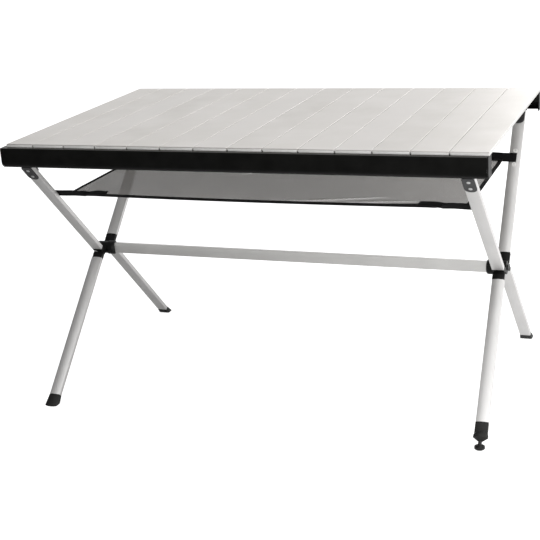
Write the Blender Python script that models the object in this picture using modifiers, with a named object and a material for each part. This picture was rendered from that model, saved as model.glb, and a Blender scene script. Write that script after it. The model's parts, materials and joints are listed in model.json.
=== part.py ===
"""Folding camp table: a roll-up slat top on two aprons, carried by X-shaped legs that fold about
hubs on a crossbar, with a mesh shelf between the upper legs. Metres, +Z up, floor at z = 0,
+X along the length, front at -Y."""
import math

import bmesh
import bpy
from mathutils import Matrix, Vector

MM = 0.001

# Whole table
TABLE_LENGTH = 1200 * MM
TABLE_DEPTH = 760 * MM
TABLE_HEIGHT = 710 * MM
SEAT_GAP = 0.3 * MM
LAP = 2 * MM

# Sides of turned shapes, by their size
SMALL_ROUND = 16
BORE_ROUND = 20
ROUND = 24
LARGE_ROUND = 28
DISC_ROUND = 32

# Slats of the top
SLAT_COUNT = 14
MIDDLE_SLAT = SLAT_COUNT // 2
SLAT_PITCH = TABLE_LENGTH / SLAT_COUNT
SLAT_THICKNESS = 8 * MM
APRON_LEDGE = 12.8 * MM
SLAT_LENGTH = TABLE_DEPTH - 2 * APRON_LEDGE
FIRST_SLAT_SETBACK = 13 * MM
SLAT_TOP_WALL = 2.4 * MM
SLAT_BOTTOM_WALL = 1.2 * MM
SLAT_SIDE_WALL = 1.4 * MM
EDGE_CHAMFER = 0.5 * MM

# Hook joint between two slats: a bead on one slat turns in a socket on the next
PIVOT_DEPTH = 3.2 * MM
BEAD_RADIUS = 1.5 * MM
NECK_THICKNESS = 1.2 * MM
SOCKET_RADIUS = 1.8 * MM
SOCKET_OUTER_RADIUS = 3.0 * MM
JOINT_WALL_FROM_PIVOT = 4.0 * MM
JOINT_LIP_FROM_PIVOT = 2.5 * MM
SOCKET_WALL_FROM_PIVOT = 2.2 * MM
SOCKET_UPPER_ANGLE = math.radians(127)
SOCKET_LOWER_ANGLE = math.radians(208)
SOCKET_FOOT_ANGLE = math.radians(312)
ARC_STEPS = 7

# Aprons
APRON_DEPTH = 36 * MM
APRON_HEIGHT = 49 * MM
APRON_WALL = 2 * MM
APRON_CURVE_START = 26 * MM
APRON_CURVE_HEIGHT = 8 * MM
APRON_CURVE_IN = 9 * MM
APRON_CURVE_RADIUS = 12 * MM
APRON_LIP = 8 * MM
APRON_NOSE_RADIUS = 1.5 * MM
CAP_NOSE = 2 * MM
END_CAP = 3 * MM
END_CAP_TONGUE = 12 * MM

# Tubes of the legs and the crossbar
TUBE_WIDTH = 30 * MM
BAR_WIDTH = 28 * MM
TUBE_DEPTH = 14 * MM
TUBE_ARCH = 2.5 * MM
TUBE_WALL = 1.4 * MM
TUBE_CORNER = 1.5 * MM
TUBE_INNER_CORNER = 0.4 * MM
SPIGOT_CLEARANCE = 0.3 * MM
HOLE_CLEARANCE = 0.3 * MM

# Legs. The hub and the pivots on the aprons set their angle. Lengths along a leg are measured
# from the hub pivot, in a frame whose z runs along the leg.
LEG_INSET = 41 * MM
LEG_PLANE_X = TABLE_LENGTH / 2 - LEG_INSET
LEG_SPLAY = math.radians(1.1)
LEG_OFFSET = 19.5 * MM
HUB_HEIGHT_SHARE = 0.4625
HUB_HEIGHT = HUB_HEIGHT_SHARE * TABLE_HEIGHT
TOP_PIVOT_BELOW_TOP = 50 * MM
TOP_PIVOT_FROM_FACE = 24.4 * MM
TOP_PIVOT_HEIGHT = TABLE_HEIGHT - TOP_PIVOT_BELOW_TOP
TOP_PIVOT_Y = TABLE_DEPTH / 2 - TOP_PIVOT_FROM_FACE
TOP_PIVOT_RISE = TOP_PIVOT_HEIGHT - HUB_HEIGHT
TOP_PIVOT_ALONG = math.sqrt(TOP_PIVOT_Y**2 + TOP_PIVOT_RISE**2 - LEG_OFFSET**2)
LEG_ANGLE = math.atan2(TOP_PIVOT_Y, TOP_PIVOT_RISE) - math.atan2(LEG_OFFSET, TOP_PIVOT_ALONG)
FLOOR_ALONG = (HUB_HEIGHT + LEG_OFFSET * math.sin(LEG_ANGLE)) / math.cos(LEG_ANGLE)
LEG_A_UPPER_START = 37 * MM
LEG_B_UPPER_START = 50 * MM
LEG_LOWER_START = 45 * MM

# Hub
HUB_DISC_RADIUS = 17 * MM
HUB_ARM_SETBACK = 0.5 * MM
HUB_BLOCK_START = 24 * MM
HUB_STOP_GAP = 0.4 * MM
HUB_ARM_EDGE = 21 * MM
ARM_ROOT_ANGLES = (math.radians(20), math.radians(60))
HUB_SPIGOT = 38 * MM
SPIGOT_ROOT = 4 * MM
BOLT_RADIUS = 4 * MM
BOLT_HEAD_RADIUS = 8 * MM
BOLT_HEAD = 3 * MM
HOUSING_RADIUS = 19 * MM
HOUSING_LENGTH = 20 * MM
HOUSING_BEVEL = 3 * MM
HOUSING_FLOOR = 4 * MM
CROSSBAR_SPIGOT = 34 * MM

# Leg tops
TOP_TUBE_SETBACK = 13 * MM
EYE_RADIUS = 8 * MM
EYE_WIDTH = 22 * MM
NECK_RELIEF = 2 * MM
NECK_INSET = 1 * MM
PIN_RADIUS = 3 * MM
PIN_HEAD_RADIUS = 4.5 * MM
PIN_HEAD = 1.2 * MM
EAR_THICKNESS = 5 * MM
EAR_MARGIN = 0.5 * MM
EAR_ARC_START = math.radians(200)
EAR_STEPS = 8
HINGE_BLOCK_ROOF = 6 * MM
SHIELD_ABOVE_TUBE = 4 * MM
SHIELD_SHOULDER = 5 * MM
SHIELD_SHOULDER_RADIUS = 2 * MM
SHIELD_TIP_RADIUS = 13.5 * MM
SHIELD_LENGTH = 52 * MM
INNER_SHIELD_LENGTH = 42 * MM
SHIELD_WIDTH = 29 * MM
SHIELD_THICKNESS = 1.8 * MM
SHIELD_STEPS = 4
TOP_SPIGOT = 68 * MM

# Plain feet
FOOT_LENGTH = 28.3 * MM
FOOT_COLLAR = 5 * MM
FOOT_EDGE = 0.3 * MM
FOOT_FLARE = 2 * MM
FOOT_SOLE_EDGE = 2.5 * MM
FOOT_SPIGOT = 40 * MM

# Levelling foot
LEVEL_FOOT_LENGTH = 67.3 * MM
LEVEL_FOOT_AT = FLOOR_ALONG - LEVEL_FOOT_LENGTH
SKIRT_AT = LEVEL_FOOT_AT + 35 * MM
SKIRT_RADIUS = 18 * MM
SKIRT_NECK_RADIUS = 9 * MM
SKIRT_STEPS = 4
SKIRT_RIM = 2.5 * MM
SKIRT_TOP = 12 * MM
SKIRT_FLATTEN = 0.62
CONE_END = LEVEL_FOOT_AT + 46 * MM
CONE_END_RADIUS = 6.5 * MM
RING_FIRST = 15 * MM
RING_PITCH = 5 * MM
RING_COUNT = 3
RING_WIDTH = 2 * MM
RING_HEIGHT = 0.8 * MM
SCREW_RADIUS = 4.5 * MM
SCREW_TAIL_RADIUS = 1.8 * MM
SCREW_TAIL_ABOVE = 10 * MM
SCREW_SHOULDER = 6 * MM
SCREW_TRAVEL = 4 * MM
PAD_RADIUS = 12.5 * MM
PAD_THICKNESS = 7.5 * MM
PAD_EDGE = 1.5 * MM
PAD_RIM = 2.5 * MM

# Shelf
STRAP_BELOW_PIVOT = 160.8 * MM
STRAP_AT = TOP_PIVOT_ALONG - STRAP_BELOW_PIVOT
STRAP_WIDTH_AT_LEG = 25 * MM
STRAP_WIDTH = 20 * MM
STRAP_THICKNESS = 1.6 * MM
STRAP_SAG = 3.2 * MM
STRAP_END = LEG_PLANE_X - 1 * MM
STRAP_TWIST_END = LEG_PLANE_X - 21.6 * MM
STRAP_TWIST_START = LEG_PLANE_X - 30 * MM
STRAP_INSET = 1 * MM
SHELF_HALF_LENGTH = LEG_PLANE_X - 31 * MM
MESH_THICKNESS = 1.2 * MM
MESH_MARGIN = 0.5 * MM
HEM_WIDTH = 7 * MM
HEM_THICKNESS = 3 * MM

LEG_SIGN = {"a": 1, "b": -1}
SIDES = {"left": -1, "right": 1}
LEDGE_TOP = TABLE_HEIGHT - SLAT_THICKNESS - SEAT_GAP
PIVOT_SHIFT = (JOINT_WALL_FROM_PIVOT + JOINT_LIP_FROM_PIVOT) / 2


def reset_scene():
    for obj in list(bpy.data.objects):
        bpy.data.objects.remove(obj, do_unlink=True)


def new_collection(name):
    made = bpy.data.collections.new(name)
    bpy.context.scene.collection.children.link(made)
    return made


def new_material(name, colour, roughness, metallic):
    made = bpy.data.materials.new(name)
    made.use_nodes = True
    shader = made.node_tree.nodes["Principled BSDF"]
    shader.inputs["Base Color"].default_value = (*colour, 1.0)
    shader.inputs["Roughness"].default_value = roughness
    shader.inputs["Metallic"].default_value = metallic
    return made


reset_scene()
TABLE = new_collection("folding_camp_table")
CUTTERS = new_collection("cutters")

SLAT_METAL = new_material("slat_aluminium", (0.78, 0.78, 0.77), 0.38, 0.85)
TUBE_METAL = new_material("tube_aluminium", (0.72, 0.72, 0.71), 0.32, 0.9)
APRON_PAINT = new_material("apron_paint", (0.02, 0.02, 0.021), 0.4, 0.0)
BLACK_PLASTIC = new_material("black_plastic", (0.022, 0.022, 0.023), 0.5, 0.0)
STEEL = new_material("zinc_steel", (0.65, 0.65, 0.64), 0.3, 1.0)
MESH_FABRIC = new_material("shelf_mesh", (0.3, 0.3, 0.29), 0.85, 0.0)
WEBBING = new_material("webbing", (0.02, 0.02, 0.022), 0.8, 0.0)


def rounded_outline(corners, steps=3):
    """Closed outline through (x, y, radius) corners, each rounded by an arc of its radius."""
    points = []
    count = len(corners)
    for i, (x, y, radius) in enumerate(corners):
        here = Vector((x, y))
        if radius == 0:
            points.append(here)
            continue
        before = (Vector(corners[i - 1][:2]) - here).normalized()
        after = (Vector(corners[(i + 1) % count][:2]) - here).normalized()
        half = before.angle(after) / 2
        centre = here + (before + after).normalized() * radius / math.sin(half)
        start = here + before * radius / math.tan(half)
        end = here + after * radius / math.tan(half)
        first = math.atan2(start.y - centre.y, start.x - centre.x)
        turn = math.remainder(math.atan2(end.y - centre.y, end.x - centre.x) - first, math.tau)
        for step in range(steps + 1):
            angle = first + turn * step / steps
            points.append(centre + radius * Vector((math.cos(angle), math.sin(angle))))
    return [tuple(p) for p in points]


def arc(centre, radius, start, end, steps):
    """Points along an arc about centre from one angle to another."""
    made = []
    for step in range(steps + 1):
        angle = start + (end - start) * step / steps
        made.append((centre[0] + radius * math.cos(angle), centre[1] + radius * math.sin(angle)))
    return made


def extruded(name, loops, depth):
    """Mesh of a filled flat curve, with its holes, extruded along z and centred on it."""
    curve = bpy.data.curves.new(name, "CURVE")
    curve.dimensions = "2D"
    curve.fill_mode = "BOTH"
    curve.extrude = depth / 2
    for loop in loops:
        spline = curve.splines.new("POLY")
        spline.points.add(len(loop) - 1)
        for point, (x, y) in zip(spline.points, loop):
            point.co = (x, y, 0, 1)
        spline.use_cyclic_u = True
    holder = bpy.data.objects.new(name, curve)
    TABLE.objects.link(holder)
    bpy.context.view_layer.update()
    mesh = bpy.data.meshes.new_from_object(holder.evaluated_get(bpy.context.evaluated_depsgraph_get()))
    bpy.data.objects.remove(holder)
    bpy.data.curves.remove(curve)
    bm = bmesh.new()
    bm.from_mesh(mesh)
    bmesh.ops.remove_doubles(bm, verts=bm.verts, dist=0.001 * MM)
    bmesh.ops.recalc_face_normals(bm, faces=bm.faces)
    bm.to_mesh(mesh)
    bm.free()
    mesh.materials.clear()
    return mesh


def turned(name, profile, segments=ROUND):
    """Mesh of a closed (radius, z) profile turned about z by a Screw modifier."""
    bm = bmesh.new()
    verts = [bm.verts.new((radius, 0, z)) for radius, z in profile]
    for pair in zip(verts, verts[1:]):
        bm.edges.new(pair)
    mesh = bpy.data.meshes.new(name)
    bm.to_mesh(mesh)
    holder = bpy.data.objects.new(name, mesh)
    CUTTERS.objects.link(holder)
    screw = holder.modifiers.new("Screw", "SCREW")
    screw.axis = "Z"
    screw.steps = segments
    screw.render_steps = segments
    screw.use_merge_vertices = True
    screw.merge_threshold = 0.01 * MM
    bpy.context.view_layer.update()
    made = bpy.data.meshes.new_from_object(holder.evaluated_get(bpy.context.evaluated_depsgraph_get()))
    bpy.data.objects.remove(holder)
    bm.clear()
    bm.from_mesh(made)
    bmesh.ops.remove_doubles(bm, verts=bm.verts, dist=0.01 * MM)
    bmesh.ops.recalc_face_normals(bm, faces=bm.faces)
    bm.to_mesh(made)
    bm.free()
    return made


def cylinder(name, radius, length, segments=ROUND):
    """Mesh of a cylinder along z, centred on the origin."""
    bm = bmesh.new()
    bmesh.ops.create_cone(
        bm, cap_ends=True, segments=segments, radius1=radius, radius2=radius, depth=length
    )
    mesh = bpy.data.meshes.new(name)
    bm.to_mesh(mesh)
    bm.free()
    return mesh


def box(name, low, high):
    """Mesh of a box between two corners."""
    bm = bmesh.new()
    size = Vector(high) - Vector(low)
    middle = (Vector(high) + Vector(low)) / 2
    bmesh.ops.create_cube(bm, size=1, matrix=Matrix.Translation(middle) @ Matrix.Diagonal((*size, 1)))
    mesh = bpy.data.meshes.new(name)
    bm.to_mesh(mesh)
    bm.free()
    return mesh


def hull(name, points):
    """Mesh of the convex hull of points, for a body that tapers from one outline to another."""
    bm = bmesh.new()
    for point in points:
        bm.verts.new(point)
    bmesh.ops.convex_hull(bm, input=bm.verts)
    bmesh.ops.delete(bm, geom=[v for v in bm.verts if not v.link_faces], context="VERTS")
    bmesh.ops.dissolve_limit(bm, angle_limit=math.radians(0.5), verts=bm.verts, edges=bm.edges)
    mesh = bpy.data.meshes.new(name)
    bm.to_mesh(mesh)
    bm.free()
    return mesh


def loft(name, rings):
    """Mesh of a body bridged through rings of points, with flat ends."""
    bm = bmesh.new()
    loops = []
    for ring in rings:
        verts = [bm.verts.new(point) for point in ring]
        loops.append([bm.edges.new((a, b)) for a, b in zip(verts, verts[1:] + verts[:1])])
    for near, far in zip(loops, loops[1:]):
        bmesh.ops.bridge_loops(bm, edges=near + far)
    bmesh.ops.holes_fill(bm, edges=bm.edges)
    bmesh.ops.recalc_face_normals(bm, faces=bm.faces)
    mesh = bpy.data.meshes.new(name)
    bm.to_mesh(mesh)
    bm.free()
    return mesh


def moved(mesh, matrix):
    """Copy of a mesh, moved."""
    copy = mesh.copy()
    copy.transform(matrix)
    return copy


def add_piece(name, mesh, material, parent=None, matrix=None):
    """Adds a named piece; matrix places it in its parent's frame."""
    mesh.materials.clear()
    mesh.materials.append(material)
    piece = bpy.data.objects.new(name, mesh)
    TABLE.objects.link(piece)
    piece.parent = parent
    piece.matrix_local = matrix or Matrix()
    for polygon in mesh.polygons:
        polygon.use_smooth = True
    mesh.set_sharp_from_angle(angle=math.radians(30))
    return piece


def combined(name, solids, cuts=()):
    """Mesh of overlapping (mesh, matrix) solids joined into one body, with the cuts taken out."""
    holder = bpy.data.objects.new(name, moved(*solids[0]))
    CUTTERS.objects.link(holder)
    helpers = [holder]
    for operation, group in (("UNION", solids[1:]), ("DIFFERENCE", cuts)):
        for mesh, matrix in group:
            tool = bpy.data.objects.new(f"{name}_tool", moved(mesh, matrix))
            CUTTERS.objects.link(tool)
            tool.hide_render = True
            tool.display_type = "WIRE"
            helpers.append(tool)
            step = holder.modifiers.new(operation.title(), "BOOLEAN")
            step.operation = operation
            step.object = tool
            step.solver = "EXACT"
    bpy.context.view_layer.update()
    made = bpy.data.meshes.new_from_object(holder.evaluated_get(bpy.context.evaluated_depsgraph_get()))
    made.name = name
    for helper in helpers:
        bpy.data.objects.remove(helper)
    return made


def add_joint_empty(name, location, parent=None):
    """Empty on a joint's axis, which carries the pieces that turn with it."""
    empty = bpy.data.objects.new(name, None)
    TABLE.objects.link(empty)
    empty.empty_display_size = 0.03
    empty.parent = parent
    offset = parent.matrix_world.inverted() if parent else Matrix()
    empty.matrix_local = offset @ Matrix.Translation(location)
    bpy.context.view_layer.update()
    return empty


def in_world(parent, matrix=None):
    """Matrix in the parent's frame of a piece placed in world coordinates."""
    return parent.matrix_world.inverted() @ (matrix or Matrix())


def shift(x=0.0, y=0.0, z=0.0):
    return Matrix.Translation((x, y, z))


def turn(angle, axis):
    return Matrix.Rotation(angle, 4, axis)


ALONG_X = turn(math.pi / 2, "Y")


# Slats. Their outline lies in a plane across the slat, x to the right and y up, with the left
# joint's pivot at the origin. The socket is on the left edge and the bead on the right edge.
def slat_outline(width, socket, bead):
    """Outer outline, and the hollow inside it, of a slat between two pivots a width apart."""
    top = PIVOT_DEPTH
    bottom = PIVOT_DEPTH - SLAT_THICKNESS
    if socket:
        inner_left = SOCKET_WALL_FROM_PIVOT + SLAT_SIDE_WALL
        left = [(-JOINT_LIP_FROM_PIVOT + EDGE_CHAMFER, top), (-JOINT_LIP_FROM_PIVOT, top - EDGE_CHAMFER)]
        left += arc((0, 0), SOCKET_RADIUS, SOCKET_UPPER_ANGLE, SOCKET_LOWER_ANGLE - math.tau, 2 * ARC_STEPS)
        left += arc((0, 0), SOCKET_OUTER_RADIUS, SOCKET_LOWER_ANGLE, SOCKET_FOOT_ANGLE, ARC_STEPS)
        left += [(SOCKET_WALL_FROM_PIVOT, bottom)]
    else:
        inner_left = SLAT_SIDE_WALL
        left = [(EDGE_CHAMFER, top), (0, top - EDGE_CHAMFER), (0, bottom)]
    if bead:
        wall = width - JOINT_WALL_FROM_PIVOT
        opening = math.asin(NECK_THICKNESS / 2 / BEAD_RADIUS)
        right = [(wall, bottom), (wall, -NECK_THICKNESS / 2)]
        right += arc((width, 0), BEAD_RADIUS, math.pi + opening, 3 * math.pi - opening, 2 * ARC_STEPS)
        right += [(wall, NECK_THICKNESS / 2), (wall, top - EDGE_CHAMFER), (wall - EDGE_CHAMFER, top)]
    else:
        wall = width
        right = [(width, bottom), (width, top - EDGE_CHAMFER), (width - EDGE_CHAMFER, top)]
    low = bottom + SLAT_BOTTOM_WALL
    high = top - SLAT_TOP_WALL
    inner_right = wall - SLAT_SIDE_WALL
    hollow = [(inner_left, low), (inner_right, low), (inner_right, high), (inner_left, high)]
    return left + right, hollow


def joint_x(index):
    """World x of the pivot between slat index and slat index + 1."""
    return -TABLE_LENGTH / 2 + index * SLAT_PITCH + PIVOT_SHIFT


def slat_start_x(number):
    """World x of the origin of a slat's outline, on its left edge."""
    return -TABLE_LENGTH / 2 + FIRST_SLAT_SETBACK if number == 1 else joint_x(number - 1)


slat_shapes = {}
for kind, number in (("first", 1), ("middle", MIDDLE_SLAT), ("last", SLAT_COUNT)):
    end_x = TABLE_LENGTH / 2 if kind == "last" else joint_x(number)
    width = end_x - slat_start_x(number)
    outline, hollow = slat_outline(width, socket=kind != "first", bead=kind != "last")
    slat_shapes[kind] = extruded(f"slat_{kind}", [outline, hollow], SLAT_LENGTH)

# The middle slat lies on the aprons, and the two halves of the top roll up from it, each slat
# about the joint on its inner edge
hinge_height = TABLE_HEIGHT - PIVOT_DEPTH
slat_axis = {MIDDLE_SLAT: add_joint_empty("top_middle", (0, 0, hinge_height))}
for number in range(MIDDLE_SLAT - 1, 0, -1):
    hinge = (joint_x(number), 0, hinge_height)
    slat_axis[number] = add_joint_empty(f"slat_{number:02d}_hinge", hinge, slat_axis[number + 1])
for number in range(MIDDLE_SLAT + 1, SLAT_COUNT + 1):
    hinge = (joint_x(number - 1), 0, hinge_height)
    slat_axis[number] = add_joint_empty(f"slat_{number:02d}_hinge", hinge, slat_axis[number - 1])
for number in range(1, SLAT_COUNT + 1):
    kind = {1: "first", SLAT_COUNT: "last"}.get(number, "middle")
    upright = shift(slat_start_x(number), 0, hinge_height) @ turn(math.pi / 2, "X")
    placed = in_world(slat_axis[number], upright)
    add_piece(f"slat_{number:02d}", slat_shapes[kind], SLAT_METAL, slat_axis[number], placed)


# Leg tubes. The outline has a flat side at -y and an arched side at +y.
def tube_outline(inset=0.0, width=TUBE_WIDTH):
    """Outline of a tube, or of its bore when inset by the wall."""
    half = width / 2 - inset
    low = -TUBE_DEPTH / 2 + inset
    shoulder = TUBE_DEPTH / 2 - TUBE_ARCH - inset * 0.6
    crown = TUBE_DEPTH / 2 - inset
    rise = crown - shoulder
    radius = (half * half + rise * rise) / (2 * rise)
    reach = math.asin(half / radius)
    corner = max(TUBE_CORNER - inset, TUBE_INNER_CORNER)
    corners = [(-half, low, corner), (half, low, corner), (half, shoulder, 0), (-half, shoulder, 0)]
    crown_arc = arc((0, crown - radius), radius, math.pi / 2 - reach, math.pi / 2 + reach, 6)
    return rounded_outline(corners, steps=2)[:-2] + crown_arc


def leg_frame(leg, side):
    """Frame of one leg at a side: origin on the hub pivot, z up along the leg, x along the table."""
    return shift(SIDES[side] * LEG_PLANE_X, 0, HUB_HEIGHT) @ turn(LEG_SIGN[leg] * LEG_ANGLE, "X")


def tube_frame(leg, side):
    """Leg frame leaned outwards at the foot, in which the leg's tubes lie."""
    return leg_frame(leg, side) @ turn(-SIDES[side] * LEG_SPLAY, "Y")


def tube_seat(leg, upper):
    """Matrix from a leg's frame to the axis of its upper or lower tube, arched side up."""
    sign = LEG_SIGN[leg]
    offset = -sign * LEG_OFFSET if upper else sign * LEG_OFFSET
    return shift(y=offset) @ (Matrix() if sign > 0 else turn(math.pi, "Z"))


def spigot(name, start, end, width=TUBE_WIDTH):
    """Block that fills a tube's bore between two stations along its axis."""
    half = width / 2 - TUBE_WALL - SPIGOT_CLEARANCE
    low = -TUBE_DEPTH / 2 + TUBE_WALL + SPIGOT_CLEARANCE
    high = TUBE_DEPTH / 2 - TUBE_ARCH - TUBE_WALL - SPIGOT_CLEARANCE / 2
    return box(name, (-half, low, start), (half, high, end))


def headed_pin(name, shank_radius, shank, head_radius, head):
    """Pin along z with its shank below z = 0 and a low domed head above."""
    profile = [
        (0, -shank),
        (shank_radius, -shank),
        (shank_radius, SEAT_GAP / 2),
        (head_radius, SEAT_GAP / 2),
        (head_radius, head * 0.5),
        (head_radius * 0.72, head),
        (0, head),
    ]
    return turned(name, profile, SMALL_ROUND)


BOLT_CUT = cylinder("bolt_cut", BOLT_RADIUS + HOLE_CLEARANCE, 3 * TUBE_WIDTH)
PIN_CUT = cylinder("pin_cut", PIN_RADIUS + HOLE_CLEARANCE, 3 * TUBE_WIDTH)

UPPER_END = TOP_PIVOT_ALONG - TOP_TUBE_SETBACK
UPPER_START = {"a": LEG_A_UPPER_START, "b": LEG_B_UPPER_START}


def lower_end(leg, side):
    """Distance from the hub pivot at which a lower tube ends over its foot."""
    return LEVEL_FOOT_AT if (leg, side) == ("b", "right") else FLOOR_ALONG - FOOT_LENGTH


# Pivots of the two leg pairs on the hub, and of the aprons on the leg tops
hub_axis = {leg: add_joint_empty(f"leg_{leg}_pivot", (0, 0, HUB_HEIGHT)) for leg in LEG_SIGN}
top_axis = {
    "a": add_joint_empty("front_apron_pivot", (0, -TOP_PIVOT_Y, TOP_PIVOT_HEIGHT), hub_axis["a"]),
    "b": add_joint_empty("back_apron_pivot", (0, TOP_PIVOT_Y, TOP_PIVOT_HEIGHT), hub_axis["b"]),
}

for leg in LEG_SIGN:
    for side in SIDES:
        for upper in (True, False):
            start = UPPER_START[leg] if upper else -lower_end(leg, side)
            end = UPPER_END if upper else -LEG_LOWER_START
            name = f"leg_{leg}_{'upper' if upper else 'lower'}_{side}"
            tube = extruded(name, [tube_outline(), tube_outline(TUBE_WALL)], end - start)
            centre = tube_frame(leg, side) @ tube_seat(leg, upper) @ shift(z=(start + end) / 2)
            placed = in_world(hub_axis[leg], centre)
            add_piece(name, tube, TUBE_METAL, hub_axis[leg], placed)


# Hub connectors: a half-width disc on the pivot, with an arm to a full-width block at each tube.
# The two legs' discs lie side by side, and leg A's upper block meets leg B's lower one as a stop.
def connector(leg, side):
    """Solids, in the leg's frame, of the connector that joins a leg's two tubes on the pivot."""
    up = -LEG_SIGN[leg]
    face = TUBE_WIDTH / 2 - SEAT_GAP
    plate_width = face - SEAT_GAP / 2
    plate_x = SIDES[side] * LEG_SIGN[leg] * (face + SEAT_GAP / 2) / 2
    inner = LEG_OFFSET - TUBE_DEPTH / 2
    outer = LEG_OFFSET + TUBE_DEPTH / 2
    lower_start = outer + HUB_STOP_GAP
    flank = HUB_DISC_RADIUS - HUB_ARM_SETBACK

    def arm(y_sign, z_sign, start, edge):
        """Arm from the middle of the disc to the block that starts at a distance along the leg."""
        corners = [(0, 0), (inner, start + LAP), (edge, start + LAP), (edge, start)]
        for angle in ARM_ROOT_ANGLES:
            corners.append((flank * math.cos(angle), flank * math.sin(angle)))
        ends = (plate_x - plate_width / 2, plate_x + plate_width / 2)
        return hull("arm", [(x, y_sign * y, z_sign * z) for y, z in corners for x in ends])

    def block(upper, start, end):
        """Full-width block from a distance along the leg to the end of a tube."""
        z_sign = 1 if upper else -1
        shape = extruded("block", [tube_outline(SEAT_GAP)], end - start)
        return shape, tube_seat(leg, upper) @ shift(z=z_sign * (start + end) / 2)

    lean = turn(-SIDES[side] * LEG_SPLAY, "Y")
    upper_start = UPPER_START[leg]
    inner_up = spigot("spigot", upper_start - SPIGOT_ROOT, upper_start + HUB_SPIGOT)
    inner_low = spigot("spigot", -LEG_LOWER_START - HUB_SPIGOT, SPIGOT_ROOT - LEG_LOWER_START)
    return [
        (cylinder("disc", HUB_DISC_RADIUS, plate_width, DISC_ROUND), shift(x=plate_x) @ ALONG_X),
        (arm(up, 1, HUB_BLOCK_START, outer - 2 * SEAT_GAP), Matrix()),
        (arm(-up, -1, lower_start, HUB_ARM_EDGE), Matrix()),
        block(True, HUB_BLOCK_START, upper_start - SEAT_GAP),
        block(False, lower_start, LEG_LOWER_START - SEAT_GAP),
        (inner_up, lean @ tube_seat(leg, True)),
        (inner_low, lean @ tube_seat(leg, False)),
    ]


for leg in LEG_SIGN:
    for side in SIDES:
        name = f"hub_connector_{leg}_{side}"
        made = combined(name, connector(leg, side), [(BOLT_CUT, ALONG_X)])
        add_piece(name, made, BLACK_PLASTIC, hub_axis[leg], in_world(hub_axis[leg], leg_frame(leg, side)))


# Leg-top fittings: an eye on the apron's pin, a neck, a spigot in the tube and a shield plate on
# each face of the tube. A bridge past the tube's end carries the outer plate, and the inner one
# grows from the neck and follows the tube's arch.
def top_fitting(leg, side):
    """Solids, in the leg's frame, of one leg's top fitting, and the matrix of its eye."""
    lean = turn(-SIDES[side] * LEG_SPLAY, "Y")
    seat = tube_seat(leg, True)
    leaned_pivot = lean @ seat @ shift(z=TOP_PIVOT_ALONG)
    pivot = seat @ shift(z=TOP_PIVOT_ALONG)
    pivot.translation.x = -SIDES[side] * TOP_PIVOT_ALONG * math.sin(LEG_SPLAY)
    flat = -TUBE_DEPTH / 2
    waist = EYE_WIDTH / 2 - NECK_INSET
    bridge_waist = waist - NECK_INSET
    start = SEAT_GAP - TOP_TUBE_SETBACK
    neck = box("neck", (-waist, flat + SEAT_GAP, start), (waist, EYE_RADIUS - NECK_RELIEF, 0))
    inside = spigot("spigot", TOP_PIVOT_ALONG - TOP_SPIGOT, UPPER_END + SPIGOT_ROOT)

    top = SHIELD_ABOVE_TUBE - TOP_TUBE_SETBACK
    bottom = -TOP_TUBE_SETBACK - SHIELD_LENGTH
    shoulder = top - SHIELD_SHOULDER
    wide = SHIELD_WIDTH / 2
    neck_wide = wide - SHIELD_ABOVE_TUBE
    right = [(wide, bottom, SHIELD_TIP_RADIUS), (wide, shoulder, SHIELD_SHOULDER_RADIUS)]
    right.append((neck_wide, top, 0))
    left = [(-x, y, radius) for x, y, radius in reversed(right)]
    plate = extruded("shield", [rounded_outline(left + right, SHIELD_STEPS)], SHIELD_THICKNESS)
    plate_y = flat - SEAT_GAP - SHIELD_THICKNESS / 2

    inner_bottom = -TOP_TUBE_SETBACK - INNER_SHIELD_LENGTH
    inner_half = [
        (wide, inner_bottom, SHIELD_TIP_RADIUS),
        (wide, -TOP_TUBE_SETBACK, 0),
        (bridge_waist, -TOP_TUBE_SETBACK, 0),
        (bridge_waist, top, 0),
    ]
    inner_outline = [(-x, y, radius) for x, y, radius in reversed(inner_half)] + inner_half
    inner_low = EYE_RADIUS - NECK_RELIEF - LAP
    inner_high = TUBE_DEPTH / 2 + SEAT_GAP + SHIELD_THICKNESS
    inner_loop = rounded_outline(inner_outline, SHIELD_STEPS)
    inner_plate = extruded("inner_shield", [inner_loop], inner_high - inner_low)
    inner_placed = shift(y=(inner_low + inner_high) / 2) @ turn(math.pi / 2, "X")
    room = extruded("tube_room", [tube_outline(-SEAT_GAP)], 2 * SHIELD_LENGTH)
    room_placed = shift(z=start + SEAT_GAP - SHIELD_LENGTH)
    saddle = combined("inner_shield", [(inner_plate, inner_placed)], [(room, room_placed)])
    bridge = box(
        "bridge",
        (-bridge_waist, plate_y, start + SEAT_GAP),
        (bridge_waist, flat + LAP, top - NECK_INSET),
    )
    solids = [
        (cylinder("eye", EYE_RADIUS, EYE_WIDTH), pivot @ ALONG_X),
        (neck, leaned_pivot),
        (inside, lean @ seat),
        (bridge, leaned_pivot),
        (plate, leaned_pivot @ shift(y=plate_y) @ turn(math.pi / 2, "X")),
        (saddle, leaned_pivot),
    ]
    return solids, pivot


pin_x = {}
for leg in LEG_SIGN:
    for side in SIDES:
        name = f"leg_top_{leg}_{side}"
        solids, pivot = top_fitting(leg, side)
        pin_x[side] = (leg_frame(leg, side) @ pivot).translation.x
        made = combined(name, solids, [(PIN_CUT, pivot @ ALONG_X)])
        add_piece(name, made, BLACK_PLASTIC, hub_axis[leg], in_world(hub_axis[leg], leg_frame(leg, side)))


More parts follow.
